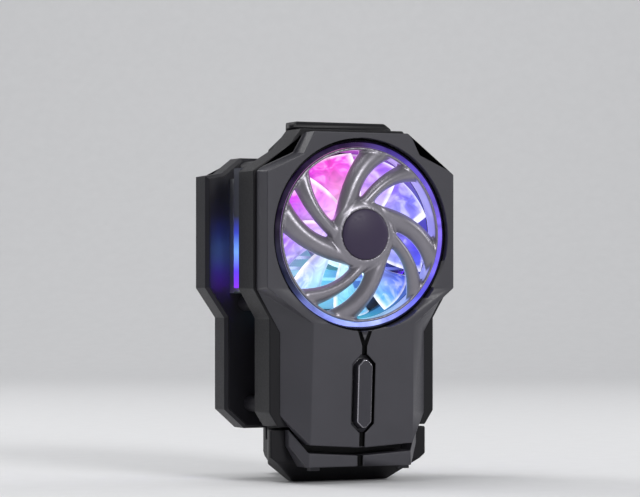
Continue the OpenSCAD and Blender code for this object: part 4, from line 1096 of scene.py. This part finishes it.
# In metres: the floor's reach to the front and the back, the sweep, the wall's top and half the width
floor_front, floor_back, sweep_r, wall_top, paper_half = -2.5, 0.75, 0.4, 2.5, 3
sweep_steps = 16
view_turn = math.radians(-25)
sweep_profile = [(floor_front, 0.0), (floor_back, 0.0)]
for k in range(1, sweep_steps + 1):
    a = math.pi / 2 * k / sweep_steps
    sweep_profile.append((floor_back + sweep_r * math.sin(a), sweep_r * (1 - math.cos(a))))
sweep_profile.append((floor_back + sweep_r, wall_top))
turned = Matrix.Rotation(view_turn, 4, "Z")
shape = bmesh.new()
columns = [[shape.verts.new(turned @ Vector((x, y, z))) for y, z in sweep_profile]
           for x in (-paper_half, paper_half)]
for k in range(len(sweep_profile) - 1):
    shape.faces.new((columns[0][k], columns[1][k], columns[1][k + 1], columns[0][k + 1])).smooth = True
# The part stands on its sprung jaw, so the floor stays under the jaw when that is pulled out
floor = finished("floor", as_mesh(shape, "floor"), paper)
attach(floor, "jaw")

world = bpy.data.worlds.new("Studio")
world.use_nodes = True
world.node_tree.nodes["Background"].inputs["Color"].default_value = linear("#e8ebf0")
world.node_tree.nodes["Background"].inputs["Strength"].default_value = 0.24
bpy.context.scene.world = world

# Each lamp: its name, its place and size in metres, and its power in watts. All face the middle.
target = Vector((0, 0, 0.045))
lamps = (("key_lamp", (0.4, -1.7, 0.9), 0.6, 17), ("top_lamp", (-0.2, 0.1, 1.1), 0.7, 5),
         ("rim_lamp", (0.8, -0.05, 0.35), 0.3, 1.6), ("back_lamp", (-0.5, 0.6, 0.55), 0.4, 2.6))
for name, spot, size, power in lamps:
    data = bpy.data.lights.new(name, "AREA")
    data.shape, data.size, data.energy = "SQUARE", size, power
    lamp = bpy.data.objects.new(name, data)
    lamp.location = spot
    lamp.rotation_euler = (target - Vector(spot)).to_track_quat("-Z", "Y").to_euler()
    bpy.context.scene.collection.objects.link(lamp)

# A long lens, level with the object and 25 degrees round to its left
lens = bpy.data.cameras.new("camera")
lens.sensor_width, lens.lens, lens.shift_y = 36, 146.25, 0.068
camera = bpy.data.objects.new("camera", lens)
camera.location = (-0.28096, -0.5989, 0.0473)
camera.rotation_euler = (math.pi / 2, 0, view_turn)
bpy.context.scene.collection.objects.link(camera)
bpy.context.scene.camera = camera
bpy.context.scene.view_settings.view_transform = "Standard"
